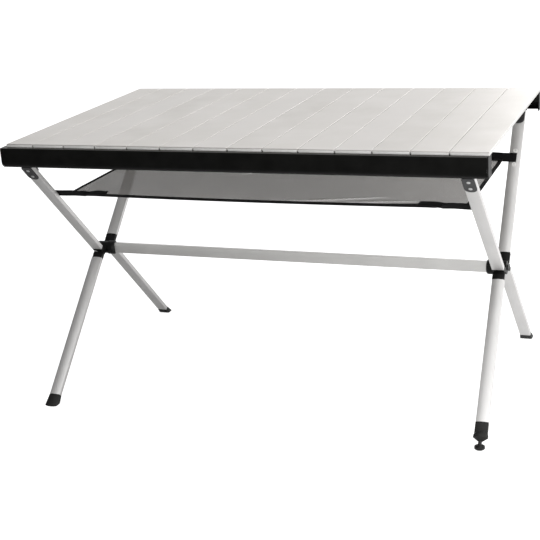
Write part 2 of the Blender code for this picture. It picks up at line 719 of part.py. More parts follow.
# Plain feet: a spigot in the tube and a body that widens from the tube's outline to a flat sole
def plain_foot(leg, side):
    """Solids, in world coordinates, of the foot under one lower tube."""
    frame = tube_frame(leg, side) @ tube_seat(leg, False)
    tube_end = FLOOR_ALONG - FOOT_LENGTH
    points = []
    for station in (tube_end + SEAT_GAP, tube_end + FOOT_COLLAR):
        points += [frame @ Vector((x, y, -station)) for x, y in tube_outline(-FOOT_EDGE)]
    along = (frame @ Vector((0, 0, -1)) - frame.translation).normalized()
    for x, y in tube_outline(-FOOT_FLARE):
        start = frame @ Vector((x, y, -tube_end))
        sole = start - along * start.z / along.z
        points += [Vector((sole.x, sole.y, z)) for z in (0, FOOT_SOLE_EDGE)]
    inside = spigot("spigot", -tube_end - LAP, FOOT_SPIGOT - tube_end)
    return [(hull("foot_body", points), Matrix()), (inside, frame)]


for name, leg, side in (
    ("back_foot_left", "a", "left"),
    ("back_foot_right", "a", "right"),
    ("front_foot_left", "b", "left"),
):
    made = combined(name, plain_foot(leg, side))
    add_piece(name, made, BLACK_PLASTIC, hub_axis[leg], in_world(hub_axis[leg]))

# Levelling foot on the front right leg: a ringed collar with a flared skirt that ends in a cone, a
# screw along the leg that turns in it, and a round pad flat on the floor
level_frame = tube_frame("b", "right") @ tube_seat("b", False)
collar_points = []
for station in (LEVEL_FOOT_AT + SEAT_GAP, SKIRT_AT - SKIRT_TOP / 2):
    collar_points += [(x, y, -station) for x, y in tube_outline(-FOOT_EDGE)]
skirt_profile = [(0, SKIRT_TOP)]
for step in range(SKIRT_STEPS + 1):
    down = math.pi / 2 * step / SKIRT_STEPS
    bell_radius = SKIRT_NECK_RADIUS + (SKIRT_RADIUS - SKIRT_NECK_RADIUS) * math.sin(down)
    skirt_profile.append((bell_radius, SKIRT_TOP * math.cos(down)))
skirt_profile += [
    (SKIRT_RADIUS, -SKIRT_RIM),
    (CONE_END_RADIUS, SKIRT_AT - CONE_END),
    (0, SKIRT_AT - CONE_END),
]
skirt = moved(turned("skirt", skirt_profile, LARGE_ROUND), Matrix.Diagonal((1, SKIRT_FLATTEN, 1, 1)))
collar_solids = [(hull("collar", collar_points), Matrix()), (skirt, shift(z=-SKIRT_AT))]
for number in range(RING_COUNT):
    ring_at = LEVEL_FOOT_AT + RING_FIRST + number * RING_PITCH
    ring_points = []
    for down, height in ((0, FOOT_EDGE / 2), (RING_WIDTH / 2, RING_HEIGHT), (RING_WIDTH, FOOT_EDGE / 2)):
        ring_points += [(x, y, -ring_at - down) for x, y in tube_outline(-height)]
    collar_solids.append((hull("ring", ring_points), Matrix()))
collar_solids.append((spigot("spigot", -LEVEL_FOOT_AT - LAP, FOOT_SPIGOT - LEVEL_FOOT_AT), Matrix()))

pad_along = FLOOR_ALONG - PAD_THICKNESS / math.cos(LEG_ANGLE)
tail_top = LEVEL_FOOT_AT - SCREW_TAIL_ABOVE
tail_start = SKIRT_AT - SCREW_SHOULDER


def screw_profile(clearance, start, shoulder, end):
    """Profile of the stepped screw, or of its bore, as distances down the leg."""
    thick = SCREW_RADIUS + clearance
    thin = SCREW_TAIL_RADIUS + clearance
    outer = [(thick, -end), (thick, -shoulder - LAP), (thin, -shoulder), (thin, -start)]
    return [(0, -end)] + outer + [(0, -start)]


bore_start = tail_top - SCREW_TRAVEL
bore_shoulder = tail_start - SCREW_TRAVEL
bore_profile = screw_profile(SEAT_GAP, bore_start, bore_shoulder, CONE_END + SCREW_TRAVEL)
bore = turned("bore", bore_profile, BORE_ROUND)
level_body = combined("levelling_foot_collar", collar_solids, [(bore, Matrix())])
placed = in_world(hub_axis["b"], level_frame)
add_piece("levelling_foot_collar", level_body, BLACK_PLASTIC, hub_axis["b"], placed)

screw = turned("screw", screw_profile(0, tail_top, tail_start, pad_along), BORE_ROUND)
pad_dish = PAD_RADIUS - 2 * PAD_RIM
pad_profile = [
    (0, 0),
    (PAD_RADIUS - PAD_EDGE, 0),
    (PAD_RADIUS, PAD_EDGE),
    (PAD_RADIUS, PAD_THICKNESS - PAD_EDGE),
    (PAD_RADIUS - PAD_RIM, PAD_THICKNESS),
    (pad_dish, PAD_THICKNESS - PAD_EDGE),
    (SCREW_RADIUS + PAD_EDGE, PAD_THICKNESS + PAD_EDGE),
    (0, PAD_THICKNESS + 2 * PAD_EDGE),
]
pad_top = level_frame @ Vector((0, 0, -pad_along))
screw_axis = add_joint_empty("levelling_screw_axis", tuple(pad_top), hub_axis["b"])
pad = turned("pad", pad_profile, LARGE_ROUND)
level_foot = combined("levelling_foot", [(screw, level_frame), (pad, shift(pad_top.x, pad_top.y, 0))])
add_piece("levelling_foot", level_foot, BLACK_PLASTIC, screw_axis, in_world(screw_axis))

# Crossbar between the hubs, with a housing in each end that carries the pivot bolt. Its arched
# side faces the front.
hub_inner_x = LEG_PLANE_X - TUBE_WIDTH / 2 - SEAT_GAP
housing_start = hub_inner_x - HOUSING_LENGTH
bar_half = housing_start - SEAT_GAP
BAR_SECTION = Matrix(((0, 0, 1, 0), (0, -1, 0, 0), (1, 0, 0, 0), (0, 0, 0, 1)))
bar_loops = [tube_outline(0, BAR_WIDTH), tube_outline(TUBE_WALL, BAR_WIDTH)]
crossbar = extruded("crossbar", bar_loops, 2 * bar_half)
add_piece("crossbar", crossbar, TUBE_METAL, None, shift(z=HUB_HEIGHT) @ BAR_SECTION)

barrel_profile = [(0, 0), (HOUSING_RADIUS - HOUSING_BEVEL, 0), (HOUSING_RADIUS, HOUSING_BEVEL)]
barrel_profile += [(HOUSING_RADIUS, HOUSING_LENGTH), (0, HOUSING_LENGTH)]
BARREL = turned("barrel", barrel_profile, LARGE_ROUND)
bolt_room_depth = HOUSING_LENGTH - HOUSING_FLOOR
BOLT_ROOM = cylinder("bolt_room", BOLT_RADIUS + HOLE_CLEARANCE, 2 * bolt_room_depth)
bolt_length = bolt_room_depth - SEAT_GAP + TUBE_WIDTH
BOLT = headed_pin("pivot_bolt", BOLT_RADIUS, bolt_length, BOLT_HEAD_RADIUS, BOLT_HEAD)
for side, s in SIDES.items():
    outward = turn(s * math.pi / 2, "Y")
    tongue_ends = sorted((s * (housing_start - CROSSBAR_SPIGOT), s * (housing_start + HOUSING_FLOOR)))
    tongue = spigot("spigot", *tongue_ends, BAR_WIDTH)
    solids = [(BARREL, shift(s * housing_start, 0, HUB_HEIGHT) @ outward)]
    solids.append((tongue, shift(z=HUB_HEIGHT) @ BAR_SECTION))
    cuts = [(BOLT_ROOM, shift(s * hub_inner_x, 0, HUB_HEIGHT) @ ALONG_X)]
    add_piece(f"hub_housing_{side}", combined("hub_housing", solids, cuts), BLACK_PLASTIC)
    bolt_seat = shift(s * (LEG_PLANE_X + TUBE_WIDTH / 2), 0, HUB_HEIGHT) @ outward
    add_piece(f"pivot_bolt_{side}", BOLT, STEEL, None, bolt_seat)

# Aprons: outline across the apron, x inwards from its outer face and y up from its ledge
inner_lip = APRON_DEPTH - APRON_WALL
face_corners = [
    (0, -APRON_CURVE_START, 0),
    (0, APRON_CURVE_HEIGHT - APRON_HEIGHT, APRON_CURVE_RADIUS),
    (APRON_CURVE_IN, -APRON_HEIGHT, 0),
]
face_curve = rounded_outline(face_corners, 5)
back_curve = [(x + APRON_WALL, y) for x, y in reversed(face_curve)]
apron_outline = [(APRON_NOSE_RADIUS, 0), (0, -APRON_NOSE_RADIUS)] + face_curve + back_curve
apron_outline += [(APRON_WALL, -APRON_WALL), (inner_lip, -APRON_WALL), (inner_lip, -APRON_LIP)]
apron_outline += [(APRON_DEPTH, -APRON_LIP), (APRON_DEPTH, 0)]
cap_outline = [(CAP_NOSE, 0), (0, -CAP_NOSE)] + face_curve
cap_outline += [(APRON_DEPTH, -APRON_HEIGHT), (APRON_DEPTH, 0)]
inside_face = APRON_WALL + SEAT_GAP
inside_lip = inner_lip - SEAT_GAP


def under_ledge(depth):
    """Outline of a block that fills the apron under its ledge, down to a depth."""
    corners = [(inside_face, -inside_face), (inside_face, -depth)]
    return corners + [(inside_lip, -depth), (inside_lip, -inside_face)]


apron_length = TABLE_LENGTH - 2 * END_CAP - 2 * SEAT_GAP
# Front apron: outline x to +Y, y to +Z, length along X; the back one is turned half round
APRON_SECTION = Matrix(((0, 0, 1, 0), (1, 0, 0, 0), (0, 1, 0, 0), (0, 0, 0, 1)))
APRON_FRONT = shift(0, -TABLE_DEPTH / 2, LEDGE_TOP) @ APRON_SECTION
APRON_PLACE = {"a": APRON_FRONT, "b": turn(math.pi, "Z") @ APRON_FRONT}
APRON_NAME = {"a": "front", "b": "back"}

pivot_down = TOP_PIVOT_HEIGHT - LEDGE_TOP
ear_radius = EYE_RADIUS + EAR_MARGIN
ear_arc = arc((TOP_PIVOT_FROM_FACE, pivot_down), ear_radius, EAR_ARC_START, math.tau, EAR_STEPS)
ear_outline = [(inside_face, -inside_face), (inside_face, -APRON_CURVE_START)] + ear_arc
ear_outline += [(inside_lip, -APRON_LIP), (inside_lip, -inside_face)]
pin_half = EYE_WIDTH / 2 + EAR_THICKNESS + 2 * SEAT_GAP
pin_profile = [(0, -pin_half - PIN_HEAD), (PIN_HEAD_RADIUS, -pin_half - PIN_HEAD)]
pin_profile += [(PIN_HEAD_RADIUS, -pin_half), (PIN_RADIUS, -pin_half)]
pin_profile += [(radius, -z) for radius, z in reversed(pin_profile)]
HINGE_PIN = turned("hinge_pin", pin_profile, SMALL_ROUND)

for leg, end_name in APRON_NAME.items():
    parent = top_axis[leg]
    along = 1 if leg == "a" else -1
    placed = in_world(parent, APRON_PLACE[leg])
    channel = extruded("apron", [apron_outline], apron_length)
    add_piece(f"{end_name}_apron", channel, APRON_PAINT, parent, placed)
    for side, s in SIDES.items():
        end = along * s
        plate = extruded("cap", [cap_outline], END_CAP)
        tongue = extruded("tongue", [under_ledge(APRON_CURVE_START)], END_CAP_TONGUE)
        plate_z = end * (TABLE_LENGTH - END_CAP) / 2
        tongue_z = plate_z - end * END_CAP_TONGUE / 2
        made = combined("cap", [(plate, shift(z=plate_z)), (tongue, shift(z=tongue_z))])
        add_piece(f"apron_cap_{end_name}_{side}", made, BLACK_PLASTIC, parent, placed)

        station = along * pin_x[side]
        ear_centre = EYE_WIDTH / 2 + SEAT_GAP + EAR_THICKNESS / 2
        ear = extruded("ear", [ear_outline], EAR_THICKNESS)
        roof = extruded("roof", [under_ledge(inside_face + HINGE_BLOCK_ROOF)], 2 * ear_centre)
        solids = [(roof, shift(z=station))]
        solids += [(ear, shift(z=station + e * ear_centre)) for e in (-1, 1)]
        pin_place = shift(TOP_PIVOT_FROM_FACE, pivot_down, station)
        made = combined("hinge_block", solids, [(PIN_CUT, pin_place)])
        add_piece(f"hinge_block_{end_name}_{side}", made, BLACK_PLASTIC, parent, placed)
        pin_placed = in_world(parent, APRON_PLACE[leg] @ pin_place)
        add_piece(f"hinge_pin_{end_name}_{side}", HINGE_PIN, STEEL, parent, pin_placed)


# Shelf: a mesh panel with a hem along each side, and a strap along its front and back that ends
# flat on the faces of the upper legs
def rectangle(low_x, low_y, high_x, high_y):
    return [(low_x, low_y), (high_x, low_y), (high_x, high_y), (low_x, high_y)]


strap_out = TUBE_DEPTH / 2 + SEAT_GAP + STRAP_THICKNESS / 2 - LEG_OFFSET
strap_end_y = strap_out * math.cos(LEG_ANGLE) - STRAP_AT * math.sin(LEG_ANGLE)
strap_end_z = HUB_HEIGHT + STRAP_AT * math.cos(LEG_ANGLE) + strap_out * math.sin(LEG_ANGLE)
strap_mid_y = strap_end_y - STRAP_INSET
shelf_height = strap_end_z - STRAP_SAG
shelf_half_depth = -strap_mid_y - STRAP_WIDTH / 2 - MESH_MARGIN


def strap_ring(x, twist):
    """Section of the front strap: level at twist 0, and along the leg at twist 1."""
    half_width = (STRAP_WIDTH + twist * (STRAP_WIDTH_AT_LEG - STRAP_WIDTH)) / 2
    level = Vector((x, strap_mid_y, shelf_height))
    centre = level.lerp(Vector((x, strap_end_y, strap_end_z)), twist)
    angle = twist * (math.pi / 2 - LEG_ANGLE)
    wide = Vector((0, -math.cos(angle), math.sin(angle))) * half_width
    thick = Vector((0, math.sin(angle), math.cos(angle))) * STRAP_THICKNESS / 2
    return [centre - wide - thick, centre + wide - thick, centre + wide + thick, centre - wide + thick]


shelf_place = shift(z=shelf_height)
mesh_edge = SHELF_HALF_LENGTH - HEM_WIDTH - SEAT_GAP
mesh_loop = rectangle(-mesh_edge, -shelf_half_depth, mesh_edge, shelf_half_depth)
mesh_panel = extruded("shelf_mesh", [mesh_loop], MESH_THICKNESS)
add_piece("shelf_mesh", mesh_panel, MESH_FABRIC, None, shelf_place)
hem_loop = rectangle(-HEM_WIDTH / 2, -shelf_half_depth, HEM_WIDTH / 2, shelf_half_depth)
HEM = extruded("shelf_hem", [hem_loop], HEM_THICKNESS)
for side, s in SIDES.items():
    hem_place = shift(x=s * (SHELF_HALF_LENGTH - HEM_WIDTH / 2)) @ shelf_place
    add_piece(f"shelf_hem_{side}", HEM, WEBBING, None, hem_place)

stations = [(-STRAP_END, 1), (-STRAP_TWIST_END, 1), (-STRAP_TWIST_START, 0)]
stations += [(-x, twist) for x, twist in reversed(stations)]
STRAP = loft("shelf_strap", [strap_ring(x, twist) for x, twist in stations])
add_piece("shelf_strap_front", STRAP, WEBBING, hub_axis["a"], in_world(hub_axis["a"]))
add_piece("shelf_strap_back", STRAP, WEBBING, hub_axis["b"], in_world(hub_axis["b"], turn(math.pi, "Z")))
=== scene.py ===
"""Looks of a folding camp table with a roll-up slat top, X legs and a mesh shelf."""
import json
import math

import bmesh
import bpy
from mathutils import Matrix, Vector

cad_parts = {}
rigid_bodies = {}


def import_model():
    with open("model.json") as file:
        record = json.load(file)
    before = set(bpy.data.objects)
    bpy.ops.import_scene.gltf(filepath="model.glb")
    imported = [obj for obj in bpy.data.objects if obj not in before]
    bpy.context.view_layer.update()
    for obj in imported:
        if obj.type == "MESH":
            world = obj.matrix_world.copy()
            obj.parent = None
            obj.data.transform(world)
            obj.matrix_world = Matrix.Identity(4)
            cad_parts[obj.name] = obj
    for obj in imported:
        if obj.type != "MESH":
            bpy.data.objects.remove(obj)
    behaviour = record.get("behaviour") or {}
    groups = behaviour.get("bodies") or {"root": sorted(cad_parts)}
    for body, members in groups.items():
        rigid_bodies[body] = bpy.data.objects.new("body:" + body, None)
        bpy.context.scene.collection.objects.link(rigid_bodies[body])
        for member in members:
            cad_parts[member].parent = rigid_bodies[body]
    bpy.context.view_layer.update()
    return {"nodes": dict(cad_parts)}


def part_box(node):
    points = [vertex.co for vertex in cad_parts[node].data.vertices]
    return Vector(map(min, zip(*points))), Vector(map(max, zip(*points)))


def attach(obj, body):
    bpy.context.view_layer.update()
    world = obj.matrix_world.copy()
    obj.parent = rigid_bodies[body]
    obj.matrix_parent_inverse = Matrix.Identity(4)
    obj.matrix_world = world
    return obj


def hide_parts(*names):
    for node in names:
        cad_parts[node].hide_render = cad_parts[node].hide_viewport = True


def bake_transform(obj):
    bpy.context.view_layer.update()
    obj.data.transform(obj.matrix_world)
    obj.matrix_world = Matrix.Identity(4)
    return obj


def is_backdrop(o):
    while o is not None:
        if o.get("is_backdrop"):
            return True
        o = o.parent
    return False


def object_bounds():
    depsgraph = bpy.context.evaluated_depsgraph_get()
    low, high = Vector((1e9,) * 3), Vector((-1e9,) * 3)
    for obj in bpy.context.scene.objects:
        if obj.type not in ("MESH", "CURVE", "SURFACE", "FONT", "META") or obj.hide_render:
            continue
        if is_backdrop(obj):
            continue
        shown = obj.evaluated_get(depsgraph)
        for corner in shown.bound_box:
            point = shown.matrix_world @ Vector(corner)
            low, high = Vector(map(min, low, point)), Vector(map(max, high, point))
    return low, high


for unwanted in list(bpy.data.objects):
    bpy.data.objects.remove(unwanted)
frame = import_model()
NODES = frame["nodes"]
MM = 0.001


# Slats of the top. Each is a hollow strip of extruded aluminium with a satin clear anodised
# finish, hooked to its neighbours along its long edges. The extrusion die leaves faint lines
# that run along the slat, and each strip takes the finish a little differently.
def linear(hex_colour):
    """Linear colour of an sRGB hex value."""
    made = []
    for at in (1, 3, 5):
        value = int(hex_colour[at:at + 2], 16) / 255
        made.append(value / 12.92 if value <= 0.04045 else ((value + 0.055) / 1.055) ** 2.4)
    return (*made, 1.0)


def add_node(tree, kind, inputs=None, stops=(), **settings):
    """Adds a node. Each input is a value or the output linked to it; stops are a ramp's colours."""
    made = tree.nodes.new(kind)
    for name, value in settings.items():
        setattr(made, name, value)
    for at, (position, hex_colour) in enumerate(stops):
        made.color_ramp.elements[at].position = position
        made.color_ramp.elements[at].color = linear(hex_colour)
    for key, value in (inputs or {}).items():
        if isinstance(value, bpy.types.NodeSocket):
            tree.links.new(value, made.inputs[key])
        else:
            made.inputs[key].default_value = value
    return made


def new_finish(name, **sockets):
    """Material with its Principled shader's constant sockets set; gives its tree, shader, place."""
    made = bpy.data.materials.new(name)
    made.use_nodes = True
    tree = made.node_tree
    shader = tree.nodes["Principled BSDF"]
    for key, value in sockets.items():
        shader.inputs[key.replace("_", " ")].default_value = value
    place = add_node(tree, "ShaderNodeTexCoord").outputs["Object"]
    return made, tree, shader, place


DIE_LINE = 0.6 * MM
DIE_LINE_RUN = 250
FINISH_CLOUD = 111 * MM
SLAT_CUT_END = 367.2 * MM
CUT_END_MARGIN = 0.5 * MM


def extruded_aluminium(name, along, dark, light, rough, groove=None):
    """Satin anodised aluminium: a soft grey sheen with fine streaks along one axis of the table,
    0 for x, 1 for y and 2 for z. Below the height of a groove, but not on the slats' cut ends,
    it is painted brighter, a painted highlight for the joints between the slats."""
    made, tree, shader, place = new_finish(name, Metallic=1.0)
    stretch = [1.0, 1.0, 1.0]
    stretch[along] = 1 / DIE_LINE_RUN
    lengthwise = add_node(tree, "ShaderNodeMapping", {"Vector": place, "Scale": stretch})
    lines = add_node(
        tree, "ShaderNodeTexNoise",
        {"Vector": lengthwise.outputs[0], "Scale": 1 / DIE_LINE, "Detail": 3.0},
    ).outputs["Fac"]
    cloud = add_node(
        tree, "ShaderNodeTexNoise", {"Vector": place, "Scale": 1 / FINISH_CLOUD, "Detail": 4.0}
    ).outputs["Fac"]
    colour = add_node(
        tree, "ShaderNodeValToRGB", {"Fac": cloud}, stops=((0.3, dark), (0.7, light))
    ).outputs["Color"]
    # Painted highlight: below the groove's top, away from the cut ends, the colour is lifted to a
    # pale grey so that the joints between the slats show as light lines
    if groove:
        spot = add_node(tree, "ShaderNodeSeparateXYZ", {0: place})
        from_middle = add_node(
            tree, "ShaderNodeMath", {0: spot.outputs["Y"]}, operation="ABSOLUTE"
        ).outputs[0]
        inside = add_node(
            tree, "ShaderNodeMath", {0: from_middle, 1: SLAT_CUT_END - CUT_END_MARGIN},
            operation="LESS_THAN",
        ).outputs[0]
        low_down = add_node(
            tree, "ShaderNodeMath", {0: spot.outputs["Z"], 1: groove}, operation="LESS_THAN"
        ).outputs[0]
        painted_highlight = add_node(
            tree, "ShaderNodeMath", {0: inside, 1: low_down}, operation="MULTIPLY"
        ).outputs[0]
        colour = add_node(
            tree, "ShaderNodeMix", {"Factor": painted_highlight, "A": colour, "B": linear("#dddcda")},
            data_type="RGBA",
        ).outputs["Result"]
    tree.links.new(colour, shader.inputs["Base Color"])
    streaks = add_node(
        tree, "ShaderNodeMapRange", {"Value": lines, "To Min": rough - 0.05, "To Max": rough + 0.07}
    )
    tree.links.new(streaks.outputs["Result"], shader.inputs["Roughness"])
    bump = add_node(
        tree, "ShaderNodeBump", {"Height": lines, "Strength": 0.12, "Distance": 0.05 * MM}
    )
    tree.links.new(bump.outputs[0], shader.inputs["Normal"])
    return made


def finished(obj, material):
    """Gives a piece its material."""
    obj.data.materials.clear()
    obj.data.materials.append(material)
    return obj


def dress(name, material, edge=0.4 * MM):
    """Gives a CAD node its material and small rounded edges."""
    node = finished(NODES[name], material)
    if node.data.has_custom_normals:
        node.data.attributes.remove(node.data.attributes["custom_normal"])
    for polygon in node.data.polygons:
        polygon.use_smooth = True
    weld = node.modifiers.new("Weld", "WELD")
    weld.merge_threshold = 0.002 * MM
    flat = node.modifiers.new("Flats", "DECIMATE")
    flat.decimate_type = "DISSOLVE"
    flat.angle_limit = math.radians(0.6)
    rounding = node.modifiers.new("Edges", "BEVEL")
    rounding.width = edge
    rounding.segments = 2
    rounding.limit_method = "ANGLE"
    rounding.angle_limit = math.radians(28)
    rounding.miter_outer = "MITER_ARC"
    rounding.harden_normals = True


SLAT_COUNT = 14
GROOVE_TOP = 709.3 * MM
SLAT_TONES = ("#c5c2be", "#c9c6c2", "#c7c4c0", "#cbc8c5")
for number in range(1, SLAT_COUNT + 1):
    tone = SLAT_TONES[number * 5 % len(SLAT_TONES)]
    slat_metal = extruded_aluminium(
        f"satin_anodised_slat_{number:02d}", 1, tone, "#cfccc9", 0.46, groove=GROOVE_TOP
    )
    dress(f"slat_{number:02d}", slat_metal, edge=0.25 * MM)


# End plugs of the slats. A moulded white nylon plug closes each end of each slat, and its
# flat head lies under the slat's top wall, over the hollow and the side walls.
MOULD_GRAIN = 0.35 * MM
SCUFF = 16.7 * MM


def moulded_plastic(name, dark, light, rough, grain=MOULD_GRAIN, gloss=0.5):
    """Injection moulded plastic: an even colour, dulled in patches where it is scuffed, with the
    fine spark-eroded grain of its mould."""
    made, tree, shader, place = new_finish(name, IOR=1.5, Specular_IOR_Level=gloss)
    fine = add_node(
        tree, "ShaderNodeTexNoise", {"Vector": place, "Scale": 1 / grain, "Detail": 2.0}
    ).outputs["Fac"]
    scuffed = add_node(
        tree, "ShaderNodeTexNoise", {"Vector": place, "Scale": 1 / SCUFF, "Detail": 5.0}
    ).outputs["Fac"]
    colour = add_node(
        tree, "ShaderNodeValToRGB", {"Fac": scuffed}, stops=((0.3, dark), (0.7, light))
    )
    tree.links.new(colour.outputs["Color"], shader.inputs["Base Color"])
    dullness = add_node(
        tree, "ShaderNodeMapRange",
        {"Value": scuffed, "To Min": rough - 0.08, "To Max": rough + 0.1},
    )
    tree.links.new(dullness.outputs["Result"], shader.inputs["Roughness"])
    bump = add_node(
        tree, "ShaderNodeBump", {"Height": fine, "Strength": 0.25, "Distance": 0.05 * MM}
    )
    tree.links.new(bump.outputs[0], shader.inputs["Normal"])
    return made


def new_piece(name, bm, material, body=None, smooth_angle=35):
    """Makes a piece of a bmesh, shades it smooth up to an angle, and lets it ride on a body."""
    mesh = bpy.data.meshes.new(name)
    bm.to_mesh(mesh)
    bm.free()
    for polygon in mesh.polygons:
        polygon.use_smooth = True
    mesh.set_sharp_from_angle(angle=math.radians(smooth_angle))
    made = bpy.data.objects.new(name, mesh)
    bpy.context.scene.collection.objects.link(made)
    finished(made, material)
    if body:
        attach(made, body)
    return made


def add_block(bm, low, high, edge):
    """Adds a box between two corners with rounded edges."""
    size = Vector(high) - Vector(low)
    middle = (Vector(high) + Vector(low)) / 2
    place = Matrix.Translation(middle) @ Matrix.Diagonal((*size, 1))
    block = bmesh.ops.create_cube(bm, size=1, matrix=place)
    edges = {e for v in block["verts"] for e in v.link_edges}
    bmesh.ops.bevel(
        bm, geom=list(edges), offset=edge, segments=2, profile=0.5, affect="EDGES", material=-1
    )


# Natural nylon: an off-white with a soft shine
WHITE_NYLON = moulded_plastic("moulded_white_nylon", "#dcdbd8", "#e9e8e6", 0.4)
PLUG_HEAD = 1.2 * MM
PLUG_BODY = 10 * MM
HEAD_EDGE = 0.3 * MM
BODY_EDGE = 0.1 * MM
HEAD_BOTTOM = 0.2 * MM
HEAD_TOP_BELOW = 2.6 * MM
HEAD_FROM_EDGE = 0.3 * MM
HEAD_FROM_SOCKET = 2.0 * MM
HEAD_FROM_BEAD = 5.8 * MM
HOLLOW_TOP_BELOW = 2.5 * MM
HOLLOW_BOTTOM = 1.3 * MM
HOLLOW_SIDE = 1.6 * MM
for number in range(1, SLAT_COUNT + 1):
    low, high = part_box(f"slat_{number:02d}")
    left = low.x + (HEAD_FROM_EDGE if number == 1 else HEAD_FROM_SOCKET)
    right = high.x - (HEAD_FROM_EDGE if number == SLAT_COUNT else HEAD_FROM_BEAD)
    bm = bmesh.new()
    for end, sign in ((low.y, -1), (high.y, 1)):
        head_y = sorted((end + sign * PLUG_HEAD, end))
        body_y = sorted((end, end - sign * PLUG_BODY))
        corner = (left, head_y[0], low.z + HEAD_BOTTOM)
        add_block(bm, corner, (right, head_y[1], high.z - HEAD_TOP_BELOW), HEAD_EDGE)
        corner = (left + HOLLOW_SIDE, body_y[0], low.z + HOLLOW_BOTTOM)
        top = (right - HOLLOW_SIDE, body_y[1], high.z - HOLLOW_TOP_BELOW)
        add_block(bm, corner, top, BODY_EDGE)
    new_piece(
        f"slat_plugs_{number:02d}", bm, WHITE_NYLON, f"slat_{number:02d}_body"
    )


# Aprons. An extruded aluminium channel, coated black, runs under the slats' ends at the front and
# at the back, and a moulded cap closes each of its ends. Blocks of nylon under it hold the legs
# on steel pins.
ORANGE_PEEL = 1.6 * MM
DUST_CLOUD = 33.3 * MM
PAINTED_REFLECTION_ABOVE = 701.1 * MM

# Satin powder coat: near black with a low soft sheen and a faint orange peel. Its top ledge is
# painted grey, a painted reflection of the sky seen at a grazing angle.
apron_coat, tree, shader, place = new_finish(
    "satin_black_powder_coat", IOR=1.5, Specular_IOR_Level=0.06
)
peel = add_node(
    tree, "ShaderNodeTexNoise", {"Vector": place, "Scale": 1 / ORANGE_PEEL, "Detail": 2.0}
).outputs["Fac"]
dust = add_node(
    tree, "ShaderNodeTexNoise", {"Vector": place, "Scale": 1 / DUST_CLOUD, "Detail": 6.0}
).outputs["Fac"]
height = add_node(tree, "ShaderNodeSeparateXYZ", {"Vector": place}).outputs["Z"]
# Painted reflection: above this height the apron's top ledge is painted grey
painted_ledge_reflection = add_node(
    tree, "ShaderNodeMath", {0: height, 1: PAINTED_REFLECTION_ABOVE}, operation="GREATER_THAN"
).outputs[0]
black = add_node(
    tree, "ShaderNodeValToRGB", {"Fac": dust}, stops=((0.3, "#0c0c0b"), (0.7, "#131312"))
).outputs["Color"]
colour = add_node(
    tree, "ShaderNodeMix", {"Factor": painted_ledge_reflection, "A": black, "B": linear("#4b4a48")},
    data_type="RGBA",
)
tree.links.new(colour.outputs["Result"], shader.inputs["Base Color"])
sheen = add_node(tree, "ShaderNodeMapRange", {"Value": dust, "To Min": 0.30, "To Max": 0.40})
tree.links.new(sheen.outputs["Result"], shader.inputs["Roughness"])
bump = add_node(tree, "ShaderNodeBump", {"Height": peel, "Strength": 0.10, "Distance": 0.06 * MM})
tree.links.new(bump.outputs[0], shader.inputs["Normal"])

# Moulded nylon and the caps' plastic: black and nearly matt
NYLON = moulded_plastic("moulded_black_nylon", "#0e0e0d", "#161615", 0.42, gloss=0.15)
CAP_PLASTIC = moulded_plastic("moulded_black_cap_plastic", "#0f0f0e", "#181817", 0.4, gloss=0.12)

# Zinc plate: bright and cool, clouded a little by handling
ZINC_HAZE = 2.5 * MM
ZINC, tree, shader, place = new_finish("bright_zinc_plated_steel", Metallic=1.0)
haze = add_node(
    tree, "ShaderNodeTexNoise", {"Vector": place, "Scale": 1 / ZINC_HAZE, "Detail": 5.0}
).outputs["Fac"]
colour = add_node(
    tree, "ShaderNodeValToRGB", {"Fac": haze}, stops=((0.3, "#c6c7c8"), (0.7, "#dcdcda"))
)
tree.links.new(colour.outputs["Color"], shader.inputs["Base Color"])
clouding = add_node(tree, "ShaderNodeMapRange", {"Value": haze, "To Min": 0.22, "To Max": 0.38})
tree.links.new(clouding.outputs["Result"], shader.inputs["Roughness"])

for end in ("front", "back"):
    dress(f"{end}_apron", apron_coat)
    for side in ("left", "right"):
        dress(f"apron_cap_{end}_{side}", CAP_PLASTIC)
        dress(f"hinge_block_{end}_{side}", NYLON)
        dress(f"hinge_pin_{end}_{side}", ZINC, edge=0.2 * MM)


# Legs. Each leg is two lengths of extruded aluminium tube, arched on one face, which a moulded
# connector joins at the hub. Blind rivets hold each tube on the connector's spigot. Leg A runs
# from the front top to the back foot, and leg B from the back top to the front foot.

# Satin anodised tube: paler and duller than the slats
TUBE_METAL = extruded_aluminium("satin_anodised_tube", 2, "#d0cfce", "#d9d8d7", 0.55)
LEG_SIGN = {"a": 1, "b": -1}
SIDES = {"left": -1, "right": 1}
HUB_HEIGHT = 328.375 * MM
LEG_PLANE_X = 559 * MM
LEG_ANGLE = math.radians(44.70)
LEG_SPLAY = math.radians(1.1)
LEG_OFFSET = 19.5 * MM
TUBE_DEPTH = 14 * MM
TUBE_WIDTH = 30 * MM
TUBE_ARCH = 2.5 * MM
UPPER_START = {"a": 37 * MM, "b": 50 * MM}
LOWER_START = 45 * MM
RIVET_FROM_END = 14 * MM
RIVET_RADIUS = 2.6 * MM
RIVET_HEIGHT = 0.9 * MM
for leg in LEG_SIGN:
    for side in SIDES:
        dress(f"leg_{leg}_upper_{side}", TUBE_METAL)
        dress(f"leg_{leg}_lower_{side}", TUBE_METAL)
        dress(f"hub_connector_{leg}_{side}", NYLON, edge=0.6 * MM)


def tube_seat(leg, side, upper):
    """Matrix from a tube's own axis, arched face at +y and z up the leg, to the table."""
    sign = LEG_SIGN[leg]
    offset = -sign * LEG_OFFSET if upper else sign * LEG_OFFSET
    seat = Matrix.Translation((0, offset, 0))
    if sign < 0:
        seat = seat @ Matrix.Rotation(math.pi, 4, "Z")
    lean = Matrix.Rotation(-SIDES[side] * LEG_SPLAY, 4, "Y")
    swing = Matrix.Rotation(sign * LEG_ANGLE, 4, "X")
    hub = Matrix.Translation((SIDES[side] * LEG_PLANE_X, 0, HUB_HEIGHT))
    return hub @ swing @ lean @ seat


